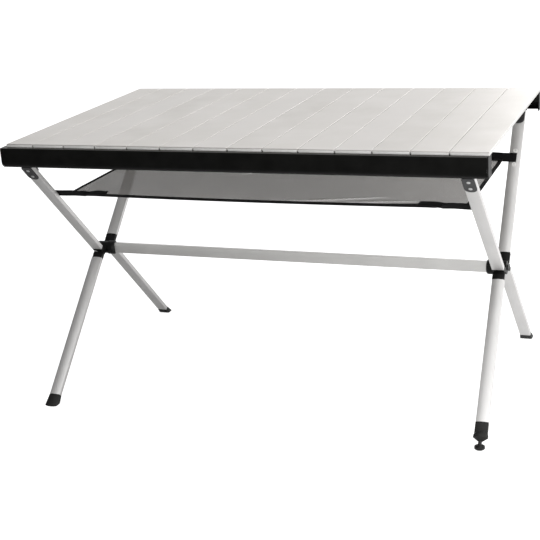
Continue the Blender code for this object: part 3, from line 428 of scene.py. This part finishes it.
def add_dome(bm, place, radius, height):
    """Adds a low domed rivet head on the plane z = 0 of a place."""
    dome = bmesh.ops.create_uvsphere(bm, u_segments=20, v_segments=8, radius=1)["verts"]
    bmesh.ops.scale(bm, vec=(radius, radius, height), verts=dome)
    bmesh.ops.transform(bm, matrix=place, verts=dome)


for leg in LEG_SIGN:
    bm = bmesh.new()
    for side in SIDES:
        for upper in (True, False):
            seat = tube_seat(leg, side, upper)
            along = UPPER_START[leg] + RIVET_FROM_END if upper else -LOWER_START - RIVET_FROM_END
            for face in (1, -1):
                spot = Matrix.Translation((face * TUBE_WIDTH / 2, -TUBE_ARCH / 2, along))
                out = Matrix.Rotation(face * math.pi / 2, 4, "Y")
                add_dome(bm, seat @ spot @ out, RIVET_RADIUS, RIVET_HEIGHT)
    new_piece(f"leg_rivets_{leg}", bm, ZINC, f"legs_{leg}")


# Leg tops. A moulded fitting in the top of each leg turns on the apron's pin. Its shield plate
# lies on the tube's flat face and is held by two screws with cross recesses.

# The shield's plastic: dark grey, with more shine than the black nylon
SHIELD_PLASTIC = moulded_plastic("moulded_grey_black_shield", "#1b1b1c", "#272729", 0.4)
PIVOT_ALONG = 485.846 * MM
SHIELD_FACE = -9.1 * MM
SCREWS_DOWN = (23.5 * MM, 50 * MM)
SCREW_RADIUS = 4.3 * MM
SCREW_HEIGHT = 1.3 * MM
RECESS_ARMS = (1.0, 0.62, 0.30, 0.62)


def raise_face(bm, face, inset, rise):
    """Insets a face and then moves it out by a rise, with walls; gives the moved face."""
    if inset:
        bmesh.ops.inset_region(bm, faces=[face], thickness=inset)
    if rise:
        grown = bmesh.ops.extrude_discrete_faces(bm, faces=[face])
        face = grown["faces"][0]
        bmesh.ops.translate(bm, vec=face.normal * rise, verts=face.verts)
    return face


def new_disc(bm, radius, segments):
    """Face of a disc on the plane z = 0 that looks up."""
    disc = bmesh.ops.create_circle(bm, cap_ends=True, segments=segments, radius=radius)["verts"]
    face = disc[0].link_faces[0]
    face.normal_update()
    if face.normal.z < 0:
        bmesh.ops.reverse_faces(bm, faces=[face])
        face.normal_update()
    return face


def add_screw(bm, place):
    """Adds a pan head on the plane z = 0 of a place. Its recess is a ring of corners that are
    drawn in to the four arms of a cross and sunk."""
    before = set(bm.verts)
    face = new_disc(bm, SCREW_RADIUS, 16)
    face = raise_face(bm, face, 0, 0.6 * SCREW_HEIGHT)
    face = raise_face(bm, face, 0.18 * SCREW_RADIUS, 0)
    for vert in face.verts:
        vert.co.z = SCREW_HEIGHT
    face = raise_face(bm, face, 0.22 * SCREW_RADIUS, 0)
    for at, vert in enumerate(face.verts):
        share = RECESS_ARMS[at % len(RECESS_ARMS)]
        vert.co = (vert.co.x * share, vert.co.y * share, vert.co.z)
    face.normal_update()
    raise_face(bm, face, 0, -0.8 * SCREW_HEIGHT)
    made = [v for v in bm.verts if v not in before]
    bmesh.ops.transform(bm, matrix=place, verts=made)


for leg in LEG_SIGN:
    bm = bmesh.new()
    for side in SIDES:
        dress(f"leg_top_{leg}_{side}", SHIELD_PLASTIC, edge=0.5 * MM)
        for down in SCREWS_DOWN:
            spot = Matrix.Translation((0, SHIELD_FACE, PIVOT_ALONG - down))
            out = Matrix.Rotation(math.pi / 2, 4, "X")
            add_screw(bm, tube_seat(leg, side, True) @ spot @ out)
    new_piece(f"shield_screws_{leg}", bm, ZINC, f"legs_{leg}")


# Feet. Three legs end in a moulded rubbery foot with a flat sole. The front right one ends in a
# ringed collar, in which a screw with a round pad turns to level the table.

# Hard rubber: black, duller and a little coarser than the nylon
FOOT_GRAIN = 0.5 * MM
FOOT_RUBBER = moulded_plastic(
    "moulded_black_foot", "#121211", "#1c1c1b", 0.5, grain=FOOT_GRAIN, gloss=0.3
)
for name in ("back_foot_left", "back_foot_right", "front_foot_left"):
    dress(name, FOOT_RUBBER, edge=1.0 * MM)
dress("levelling_foot_collar", FOOT_RUBBER, edge=0.4 * MM)
dress("levelling_foot", FOOT_RUBBER, edge=0.3 * MM)


# Crossbar. The same tube as the legs joins the two hubs, with its arched face to the front. Each
# end slides over a moulded housing and is held there by two small rivets on its upper edge.

# Satin anodised bar: a little darker and smoother than the legs
BAR_METAL = extruded_aluminium("satin_anodised_crossbar", 0, "#c9c8c6", "#d2d1cf", 0.48)
BAR_END = 523.4 * MM
BAR_TOP = HUB_HEIGHT + 14 * MM
BAR_RIVETS_FROM_END = (12 * MM, 22 * MM)
BAR_RIVET_Y = -1 * MM
BAR_RIVET_RADIUS = 2.4 * MM
dress("crossbar", BAR_METAL)
bm = bmesh.new()
for side, side_sign in SIDES.items():
    dress(f"hub_housing_{side}", NYLON, edge=0.6 * MM)
    dress(f"pivot_bolt_{side}", NYLON, edge=0.3 * MM)
    for from_end in BAR_RIVETS_FROM_END:
        top = Matrix.Translation((side_sign * (BAR_END - from_end), BAR_RIVET_Y, BAR_TOP))
        add_dome(bm, top, BAR_RIVET_RADIUS, RIVET_HEIGHT)
new_piece("crossbar_rivets", bm, ZINC, "hub_frame")


# Shelf straps. A woven polyester strap runs along the front and the back of the shelf, from one
# upper leg tube to the other. It lies flat on the tubes and stands at their slope past the net's
# corners, where it dips, and then turns level and sags a little.
STRAP_Y = -236.74 * MM
STRAP_Z = 551.41 * MM
STRAP_LEVEL_Y = -237.74 * MM
SHELF_Z = 548.2 * MM
STRAP_WIDTH = 20 * MM
STRAP_WIDTH_AT_LEG = 26 * MM
STRAP_THICKNESS = 1.5 * MM

# Going outwards, the strap leaves the level at the first of these places, stands at the legs'
# slope from the second on, and lies flat on the tube from the third to the last
STRAP_TWIST_X = 440 * MM
STRAP_STANDS_X = 485 * MM
STRAP_FLAT_X = 536.8 * MM
STRAP_END_X = 558 * MM
STRAP_SAG = 4.2 * MM
STRAP_LIFT = 2.2 * MM
STRAP_DIP = 4.0 * MM
STRAP_DIP_X = 462 * MM
STRAP_DIP_REACH = 13 * MM
LEG_TILT = math.pi / 2 - LEG_ANGLE


def eased(x, start, end):
    """How far a station along the table lies from one distance to another, 0 to 1, eased."""
    share = min(max((abs(x) - start) / (end - start), 0), 1)
    return share * share * (3 - 2 * share)


def strap_section(x):
    """Centre, tilt and width of the front strap at a station along the table."""
    share = eased(x, STRAP_TWIST_X, STRAP_STANDS_X)
    on_tube = eased(x, STRAP_STANDS_X, STRAP_FLAT_X)
    y = STRAP_LEVEL_Y + on_tube * (STRAP_Y - STRAP_LEVEL_Y)
    z = STRAP_Z - STRAP_SAG * max(0, 1 - (x / STRAP_FLAT_X) ** 2) + STRAP_LIFT * (share - on_tube)
    z -= STRAP_DIP * math.exp(-(((abs(x) - STRAP_DIP_X) / STRAP_DIP_REACH) ** 2))
    width = STRAP_WIDTH + share * (STRAP_WIDTH_AT_LEG - STRAP_WIDTH)
    return Vector((x, y, z)), share * LEG_TILT, width


# A wave texture of scale 1 repeats at this distance, in metres
WAVE_PERIOD = math.tau / 20


def woven_tape(name, dark, light, rib, slant):
    """Woven polyester tape: matt black with fine ribs that run at a slant to the table's y axis."""
    made, tree, shader, place = new_finish(name, Roughness=0.85, Specular_IOR_Level=0.12)
    turned = add_node(
        tree, "ShaderNodeMapping", {"Vector": place, "Rotation": (0, 0, math.radians(slant))}
    ).outputs[0]
    ribs = add_node(
        tree, "ShaderNodeTexWave",
        {"Vector": turned, "Scale": WAVE_PERIOD / rib, "Distortion": 0.6},
    ).outputs["Fac"]
    colour = add_node(
        tree, "ShaderNodeValToRGB", {"Fac": ribs}, stops=((0.2, dark), (0.8, light))
    )
    tree.links.new(colour.outputs["Color"], shader.inputs["Base Color"])
    bump = add_node(tree, "ShaderNodeBump", {"Height": ribs, "Strength": 0.6, "Distance": 0.2 * MM})
    tree.links.new(bump.outputs[0], shader.inputs["Normal"])
    return made


WEBBING = woven_tape("woven_black_polyester_webbing", "#080808", "#151516", 1.1 * MM, 28)
STATIONS = 120
STRIPS = 8
for end, body, turned in (("front", "legs_a", 0), ("back", "legs_b", math.pi)):
    bm = bmesh.new()
    section = [bm.verts.new((0, share / STRIPS - 0.5, 0)) for share in range(STRIPS + 1)]
    strip = [bm.edges.new(pair) for pair in zip(section, section[1:])]
    columns = [section]
    for step in range(STATIONS):
        grown = bmesh.ops.extrude_edge_only(bm, edges=strip)["geom"]
        strip = [g for g in grown if isinstance(g, bmesh.types.BMEdge)]
        column = [g for g in grown if isinstance(g, bmesh.types.BMVert)]
        columns.append(sorted(column, key=lambda v: v.co.y))
    for step, column in enumerate(columns):
        x = STRAP_END_X * (2 * step / STATIONS - 1)
        centre, tilt, width = strap_section(x)
        across = Vector((0, -math.cos(tilt), math.sin(tilt))) * width
        for vert in column:
            vert.co = centre - across * vert.co.y
    bmesh.ops.transform(bm, matrix=Matrix.Rotation(turned, 4, "Z"), verts=bm.verts)
    bmesh.ops.recalc_face_normals(bm, faces=bm.faces)
    strap = new_piece(f"shelf_webbing_{end}", bm, WEBBING, body, smooth_angle=60)
    thick = strap.modifiers.new("Thickness", "SOLIDIFY")
    thick.thickness = STRAP_THICKNESS
    thick.offset = 0
    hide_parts(f"shelf_strap_{end}")


# Strap stops. A moulded cap of white nylon with a hole in it is pressed into the tube above and
# below each end of each strap, and keeps the strap from sliding.
STRAP_ALONG = 325.05 * MM
STOP_FROM_STRAP = 20.5 * MM
STOP_RADIUS = 6 * MM
STOP_HEIGHT = 2.6 * MM
STOP_EDGE = 0.8 * MM
STOP_HOLE = 1.6 * MM
OUT_OF_ARCH = Matrix.Rotation(-math.pi / 2, 4, "X")
for leg in LEG_SIGN:
    bm = bmesh.new()
    for side in SIDES:
        for sign in (1, -1):
            along = STRAP_ALONG + sign * STOP_FROM_STRAP
            spot = Matrix.Translation((0, TUBE_DEPTH / 2, along)) @ OUT_OF_ARCH
            before = set(bm.verts)
            face = new_disc(bm, STOP_RADIUS, 24)
            face = raise_face(bm, face, 0, STOP_HEIGHT - STOP_EDGE)
            face = raise_face(bm, face, STOP_EDGE, 0)
            for vert in face.verts:
                vert.co.z = STOP_HEIGHT
            face = raise_face(bm, face, STOP_RADIUS - STOP_EDGE - STOP_HOLE, 0)
            face.normal_update()
            raise_face(bm, face, 0, -0.8 * STOP_HEIGHT)
            made = [v for v in bm.verts if v not in before]
            bmesh.ops.transform(bm, matrix=tube_seat(leg, side, True) @ spot, verts=made)
    new_piece(f"strap_stops_{leg}", bm, WHITE_NYLON, f"legs_{leg}")


# Shelf panel. An open knitted polyester net is sewn to the two straps. It is one cloth, made
# here as two halves that meet on the middle line.

# Knitted net: a grey haze that the light comes through, each thread paler along its middle, a
# painted highlight on its round top. Its holes are really about 2 mm apart, and are drawn coarser
# so that they show.
NET_STRAND = 1.82 * MM
NET_PITCH = 4.4 * MM
NET_SLANT = 52
net, tree, shader, place = new_finish("knitted_polyester_net", Roughness=0.8, Sheen_Weight=0.3)
strands = []
for slant in (NET_SLANT, -NET_SLANT):
    turned = add_node(
        tree, "ShaderNodeMapping", {"Vector": place, "Rotation": (0, 0, math.radians(slant))}
    ).outputs[0]
    strands.append(add_node(
        tree, "ShaderNodeTexWave",
        {"Vector": turned, "Scale": WAVE_PERIOD / NET_PITCH, "Distortion": 0.0},
        wave_profile="TRI",
    ).outputs["Fac"])
thread = add_node(
    tree, "ShaderNodeMath", {0: strands[0], 1: strands[1]}, operation="MAXIMUM"
).outputs[0]
solid = add_node(
    tree, "ShaderNodeMath", {0: thread, 1: 1 - NET_STRAND / NET_PITCH}, operation="GREATER_THAN"
).outputs[0]
# Painted highlight: each thread is paler along its middle, where its round top would catch the
# light
colour = add_node(
    tree, "ShaderNodeValToRGB", {"Fac": thread}, stops=((0.4, "#817d79"), (1.0, "#b2aeaa"))
)
tree.links.new(colour.outputs["Color"], shader.inputs["Base Color"])
tree.links.new(solid, shader.inputs["Alpha"])

SHELF_ENDS = (("front", -1, "legs_a"), ("back", 1, "legs_b"))
SHELF_HALF_X = 524.5 * MM
SHELF_COLUMNS = 220
SHELF_ROWS = 56
NET_THICKNESS = 0.5 * MM
NET_BELOW_SHELF = 3.4 * MM
NET_HANG = 2.5 * MM
RIPPLE = 0.5 * MM
CORNER_PULL = 1.2 * MM
EDGE_INSIDE_STRAP = 4 * MM
PATCH_FROM = 408 * MM
RETREAT_FROM = 335 * MM
RETREAT = 14 * MM

# Folds where the net is pulled to the front strap and over its middle: two ends and a height
NET_FOLDS = (
    ((0.12, -0.222), (0.33, -0.150), 4.4 * MM),
    ((0.22, -0.224), (0.42, -0.185), 4.0 * MM),
    ((0.05, -0.226), (0.22, -0.200), 3.2 * MM),
    ((-0.14, 0.02), (-0.03, 0.10), 3.6 * MM),
    ((0.44, 0.10), (0.52, 0.17), 2.0 * MM),
)
FOLD_WIDTH = 5 * MM


def fold_rise(x, y):
    """Height that the net's folds add at a point."""
    rise = 0.0
    for first, last, height in NET_FOLDS:
        first = Vector(first)
        run = Vector(last) - first
        share = (Vector((x, y)) - first).dot(run) / run.length_squared
        if 0 < share < 1:
            off = (Vector((x, y)) - first - run * share).length / FOLD_WIDTH
            rise += height * math.sin(math.pi * share) * math.exp(-off * off)
    return rise


def shelf_height(x, y):
    """Height of the net: it leaves each strap at its tilt and hangs slightly in the middle, with
    long soft ripples, and with short ones where the corners pull it."""
    centre, tilt, width = strap_section(x)
    edge_z = centre.z - math.sin(tilt) * (width / 2 - EDGE_INSIDE_STRAP)
    net_z = SHELF_Z - NET_BELOW_SHELF
    depth = abs(y) / abs(STRAP_LEVEL_Y)
    corner = abs(x) / SHELF_HALF_X
    hang = NET_HANG * (1 - depth ** 2) * (1 - corner ** 2)
    ripple = RIPPLE * math.sin(34 * x + 9 * y) * math.sin(11 * x - 7 * y + 1.3) * (1 - depth ** 6)
    pull = CORNER_PULL * math.sin(70 * (abs(x) + abs(y))) * max(0, corner + depth - 1.35)
    return net_z + (edge_z - net_z) * depth ** 5 - hang + ripple + pull + fold_rise(x, y)


def edge_retreat(x):
    """How far the net's edge draws back from the strap beside a corner patch."""
    share = (x - RETREAT_FROM) / (PATCH_FROM - RETREAT_FROM)
    return RETREAT * share if 0 < share < 1 else 0.0


def thicken(cloth, thickness):
    """Gives a cloth its thickness for good, half to each side."""
    thick = cloth.modifiers.new("Thickness", "SOLIDIFY")
    thick.thickness = thickness
    thick.offset = 0
    bpy.context.view_layer.objects.active = cloth
    cloth.select_set(True)
    bpy.ops.object.modifier_apply(modifier="Thickness")


half_depth = abs(STRAP_LEVEL_Y) - STRAP_WIDTH / 2 + EDGE_INSIDE_STRAP
for end, sign, body in SHELF_ENDS:
    bm = bmesh.new()
    bmesh.ops.create_grid(bm, x_segments=SHELF_COLUMNS, y_segments=SHELF_ROWS, size=0.5)
    for vert in bm.verts:
        x = 2 * vert.co.x * SHELF_HALF_X
        y = sign * (vert.co.y + 0.5) * (half_depth - edge_retreat(-sign * x))
        vert.co = (x, y, shelf_height(x, y))
    bmesh.ops.recalc_face_normals(bm, faces=bm.faces)
    panel = new_piece(f"shelf_net_{end}", bm, net, smooth_angle=80)
    thicken(panel, NET_THICKNESS)
    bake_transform(panel)
    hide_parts("shelf_mesh")


# Side hems. A woven black polyester tape is folded over each side of the net and sewn down. Its
# halves meet on the middle line, as the net's do.
TAPE = woven_tape("woven_black_binding_tape", "#070707", "#121213", 0.8 * MM, 90)
HEM_WIDTH = 11.5 * MM
HEM_THICKNESS = 2.6 * MM
HEM_STEPS = 24
STAND_UP = Matrix.Rotation(math.pi / 2, 3, "X")
for side, side_sign in SIDES.items():
    for end, sign, body in SHELF_ENDS:
        bm = bmesh.new()
        ring = bmesh.ops.create_circle(bm, cap_ends=False, segments=12, radius=0.5)["verts"]
        bmesh.ops.rotate(bm, cent=(0, 0, 0), matrix=STAND_UP, verts=ring)
        bmesh.ops.scale(bm, vec=(HEM_WIDTH, 1, HEM_THICKNESS), verts=ring)
        edges = list(bm.edges)
        ring_sets = [ring]
        for step in range(HEM_STEPS):
            grown = bmesh.ops.extrude_edge_only(bm, edges=edges)["geom"]
            edges = [g for g in grown if isinstance(g, bmesh.types.BMEdge)]
            ring_sets.append([g for g in grown if isinstance(g, bmesh.types.BMVert)])
        for step, verts in enumerate(ring_sets):
            y = sign * half_depth * step / HEM_STEPS
            x = side_sign * (SHELF_HALF_X - HEM_WIDTH / 2)
            lift = Vector((x, y, shelf_height(x, y)))
            for vert in verts:
                vert.co = Vector((vert.co.x, 0, vert.co.z)) + lift
        bmesh.ops.holes_fill(bm, edges=bm.edges)
        bmesh.ops.recalc_face_normals(bm, faces=bm.faces)
        hem = new_piece(f"shelf_binding_{end}_{side}", bm, TAPE, smooth_angle=50)
        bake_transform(hem)
        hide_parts(f"shelf_hem_{side}")


# Corner patches. The same tape doubles each corner of the net beside its strap, and runs on
# along the net's edge as a narrow binding until it meets the strap. It is sewn down, and stands
# a little off the net on its inner side.
PATCH_STEPS = 60
PATCH_DEPTH = 25 * MM
PATCH_WAVE = 1.2 * MM
PATCH_THICKNESS = 1.0 * MM
PATCH_ABOVE_NET = 0.9 * MM
PATCH_RISE = 4 * MM
BINDING_DEPTH = 5 * MM
patch_reach = SHELF_HALF_X - HEM_WIDTH / 2 - RETREAT_FROM
for side, side_sign in SIDES.items():
    for end, sign, body in SHELF_ENDS:
        bm = bmesh.new()
        bmesh.ops.create_grid(bm, x_segments=PATCH_STEPS, y_segments=6, size=0.5)
        for vert in bm.verts:
            outward, inward = vert.co.x + 0.5, vert.co.y + 0.5
            x = side_sign * (RETREAT_FROM + outward * patch_reach)
            depth, rise = BINDING_DEPTH, 0.0
            if abs(x) > PATCH_FROM:
                depth = PATCH_DEPTH + PATCH_WAVE * math.sin(140 * x)
                rise = PATCH_RISE * inward
            y = sign * (half_depth - edge_retreat(-sign * x) - inward * depth)
            vert.co = (x, y, shelf_height(x, y) + PATCH_ABOVE_NET + rise)
        bmesh.ops.recalc_face_normals(bm, faces=bm.faces)
        patch = new_piece(f"shelf_patch_{end}_{side}", bm, TAPE, smooth_angle=50)
        thicken(patch, PATCH_THICKNESS)
        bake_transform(patch)


# Studio. A white floor under soft lamps that stand mostly on the right, with a grey flag on the
# left, seen from the photograph's place. The camera sees floor and sky as plain white.
CAMERA_PLACE = Vector((1.0485, -2.7794, 1.294))
CAMERA_AZIMUTH = math.radians(21.764)
CAMERA_ELEVATION = math.radians(18.606)
CAMERA_ROLL = math.radians(-4.038)
CAMERA_LENS = 78.21
CAMERA_SENSOR = 36
forward = Vector((
    -math.sin(CAMERA_AZIMUTH) * math.cos(CAMERA_ELEVATION),
    math.cos(CAMERA_AZIMUTH) * math.cos(CAMERA_ELEVATION),
    -math.sin(CAMERA_ELEVATION),
))
level = forward.cross(Vector((0, 0, 1))).normalized()
over = level.cross(forward)
right = level * math.cos(CAMERA_ROLL) + over * math.sin(CAMERA_ROLL)
up = -level * math.sin(CAMERA_ROLL) + over * math.cos(CAMERA_ROLL)
camera_data = bpy.data.cameras.new("camera")
camera_data.lens = CAMERA_LENS
camera_data.sensor_width = CAMERA_SENSOR
camera = bpy.data.objects.new("camera", camera_data)
bpy.context.scene.collection.objects.link(camera)
turned = Matrix((right, up, -forward)).transposed()
camera.matrix_world = Matrix.Translation(CAMERA_PLACE) @ turned.to_4x4()
bpy.context.scene.camera = camera

# Matt white floor: it glows to the camera, and to metal more and more towards the right
FLOOR_RADIUS = 30
FLOOR_GLOW = 0.86
FLOOR_GLOW_IN_METAL = 0.60
GLOW_REACH = 0.8
floor_white, tree, shader, place = new_finish("matt_white_floor", Roughness=0.9)
shader.inputs["Base Color"].default_value = linear("#d4d4d4")
ray = add_node(tree, "ShaderNodeLightPath")
seen = add_node(
    tree, "ShaderNodeMath",
    {0: ray.outputs["Is Camera Ray"], 1: ray.outputs["Is Transmission Ray"]}, operation="MAXIMUM",
).outputs[0]
along = add_node(tree, "ShaderNodeSeparateXYZ", {"Vector": place}).outputs["X"]
toward_right = add_node(
    tree, "ShaderNodeMapRange",
    {
        "Value": along, "From Min": -GLOW_REACH, "From Max": GLOW_REACH,
        "To Max": FLOOR_GLOW_IN_METAL,
    },
).outputs[0]
mirrored = add_node(
    tree, "ShaderNodeMath", {0: ray.outputs["Is Glossy Ray"], 1: toward_right},
    operation="MULTIPLY",
).outputs[0]
strength = add_node(
    tree, "ShaderNodeMath", {0: seen, 1: FLOOR_GLOW, 2: mirrored}, operation="MULTIPLY_ADD"
).outputs[0]
glow = add_node(tree, "ShaderNodeEmission", {"Color": (1, 1, 1, 1), "Strength": strength})
both = add_node(tree, "ShaderNodeAddShader", {0: shader.outputs[0], 1: glow.outputs[0]})
tree.links.new(both.outputs[0], tree.nodes["Material Output"].inputs["Surface"])
bm = bmesh.new()
bmesh.ops.create_circle(bm, cap_ends=True, segments=64, radius=FLOOR_RADIUS)
floor = new_piece("floor", bm, floor_white)
floor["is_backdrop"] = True

# Matt grey flag: out of sight, it keeps the sky's light off the metal's left
FLAG_SIZE = (4.6, 5.2, 1)
FLAG_TURN = Matrix.Rotation(math.radians(98), 3, "Y")
FLAG_PLACE = (-2.2, -1.1, 2.4)
flag_grey, tree, shader, place = new_finish("matt_grey_flag", Roughness=0.9)
shader.inputs["Base Color"].default_value = linear("#8c8c8c")
bm = bmesh.new()
bmesh.ops.create_grid(bm, x_segments=1, y_segments=1, size=0.5)
bmesh.ops.scale(bm, vec=FLAG_SIZE, verts=bm.verts)
bmesh.ops.rotate(bm, cent=(0, 0, 0), matrix=FLAG_TURN, verts=bm.verts)
bmesh.ops.translate(bm, vec=FLAG_PLACE, verts=bm.verts)
flag = new_piece("grey_flag", bm, flag_grey)
flag.visible_camera = False
flag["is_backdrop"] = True

# Sky: a low even light on the table, and plain white where the camera, metal or glass sees it
SKY_LIGHT = 0.40
world = bpy.data.worlds.new("studio")
world.use_nodes = True
bpy.context.scene.world = world
tree = world.node_tree
sky = tree.nodes["Background"]
sky.inputs["Color"].default_value = (1, 1, 1, 1)
sky.inputs["Strength"].default_value = SKY_LIGHT
white = add_node(tree, "ShaderNodeBackground", {"Color": (1, 1, 1, 1), "Strength": 1.0})
ray = add_node(tree, "ShaderNodeLightPath")
seen = add_node(
    tree, "ShaderNodeMath", {0: ray.outputs["Is Camera Ray"], 1: ray.outputs["Is Glossy Ray"]},
    operation="MAXIMUM",
).outputs[0]
seen = add_node(
    tree, "ShaderNodeMath", {0: seen, 1: ray.outputs["Is Transmission Ray"]}, operation="MAXIMUM"
).outputs[0]
mix = add_node(tree, "ShaderNodeMixShader", {0: seen, 1: sky.outputs[0], 2: white.outputs[0]})
tree.links.new(mix.outputs[0], tree.nodes["World Output"].inputs["Surface"])


def add_softbox(name, place, target, size, power):
    """Square area lamp of a size in metres and a power in watts at a place, aimed at a target."""
    data = bpy.data.lights.new(name, "AREA")
    data.shape = "SQUARE"
    data.size = size
    data.energy = power
    lamp = bpy.data.objects.new(name, data)
    bpy.context.scene.collection.objects.link(lamp)
    aim = (Vector(target) - Vector(place)).to_track_quat("-Z", "Y")
    lamp.matrix_world = Matrix.Translation(place) @ aim.to_matrix().to_4x4()


add_softbox("key", (2.3, -2.2, 1.2), (0.5, 0, 0.4), 2.6, 50)
add_softbox("overhead", (0.25, -0.9, 2.9), (0.3, 0, 0.3), 2.6, 20)
add_softbox("back", (1.0, 3.0, 1.6), (0.3, 0, 0.6), 1.8, 25)
add_softbox("side", (2.6, 0.4, 0.9), (0.5, 0, 0.4), 2.0, 16)
bpy.context.scene.view_settings.view_transform = "Standard"

low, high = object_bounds()
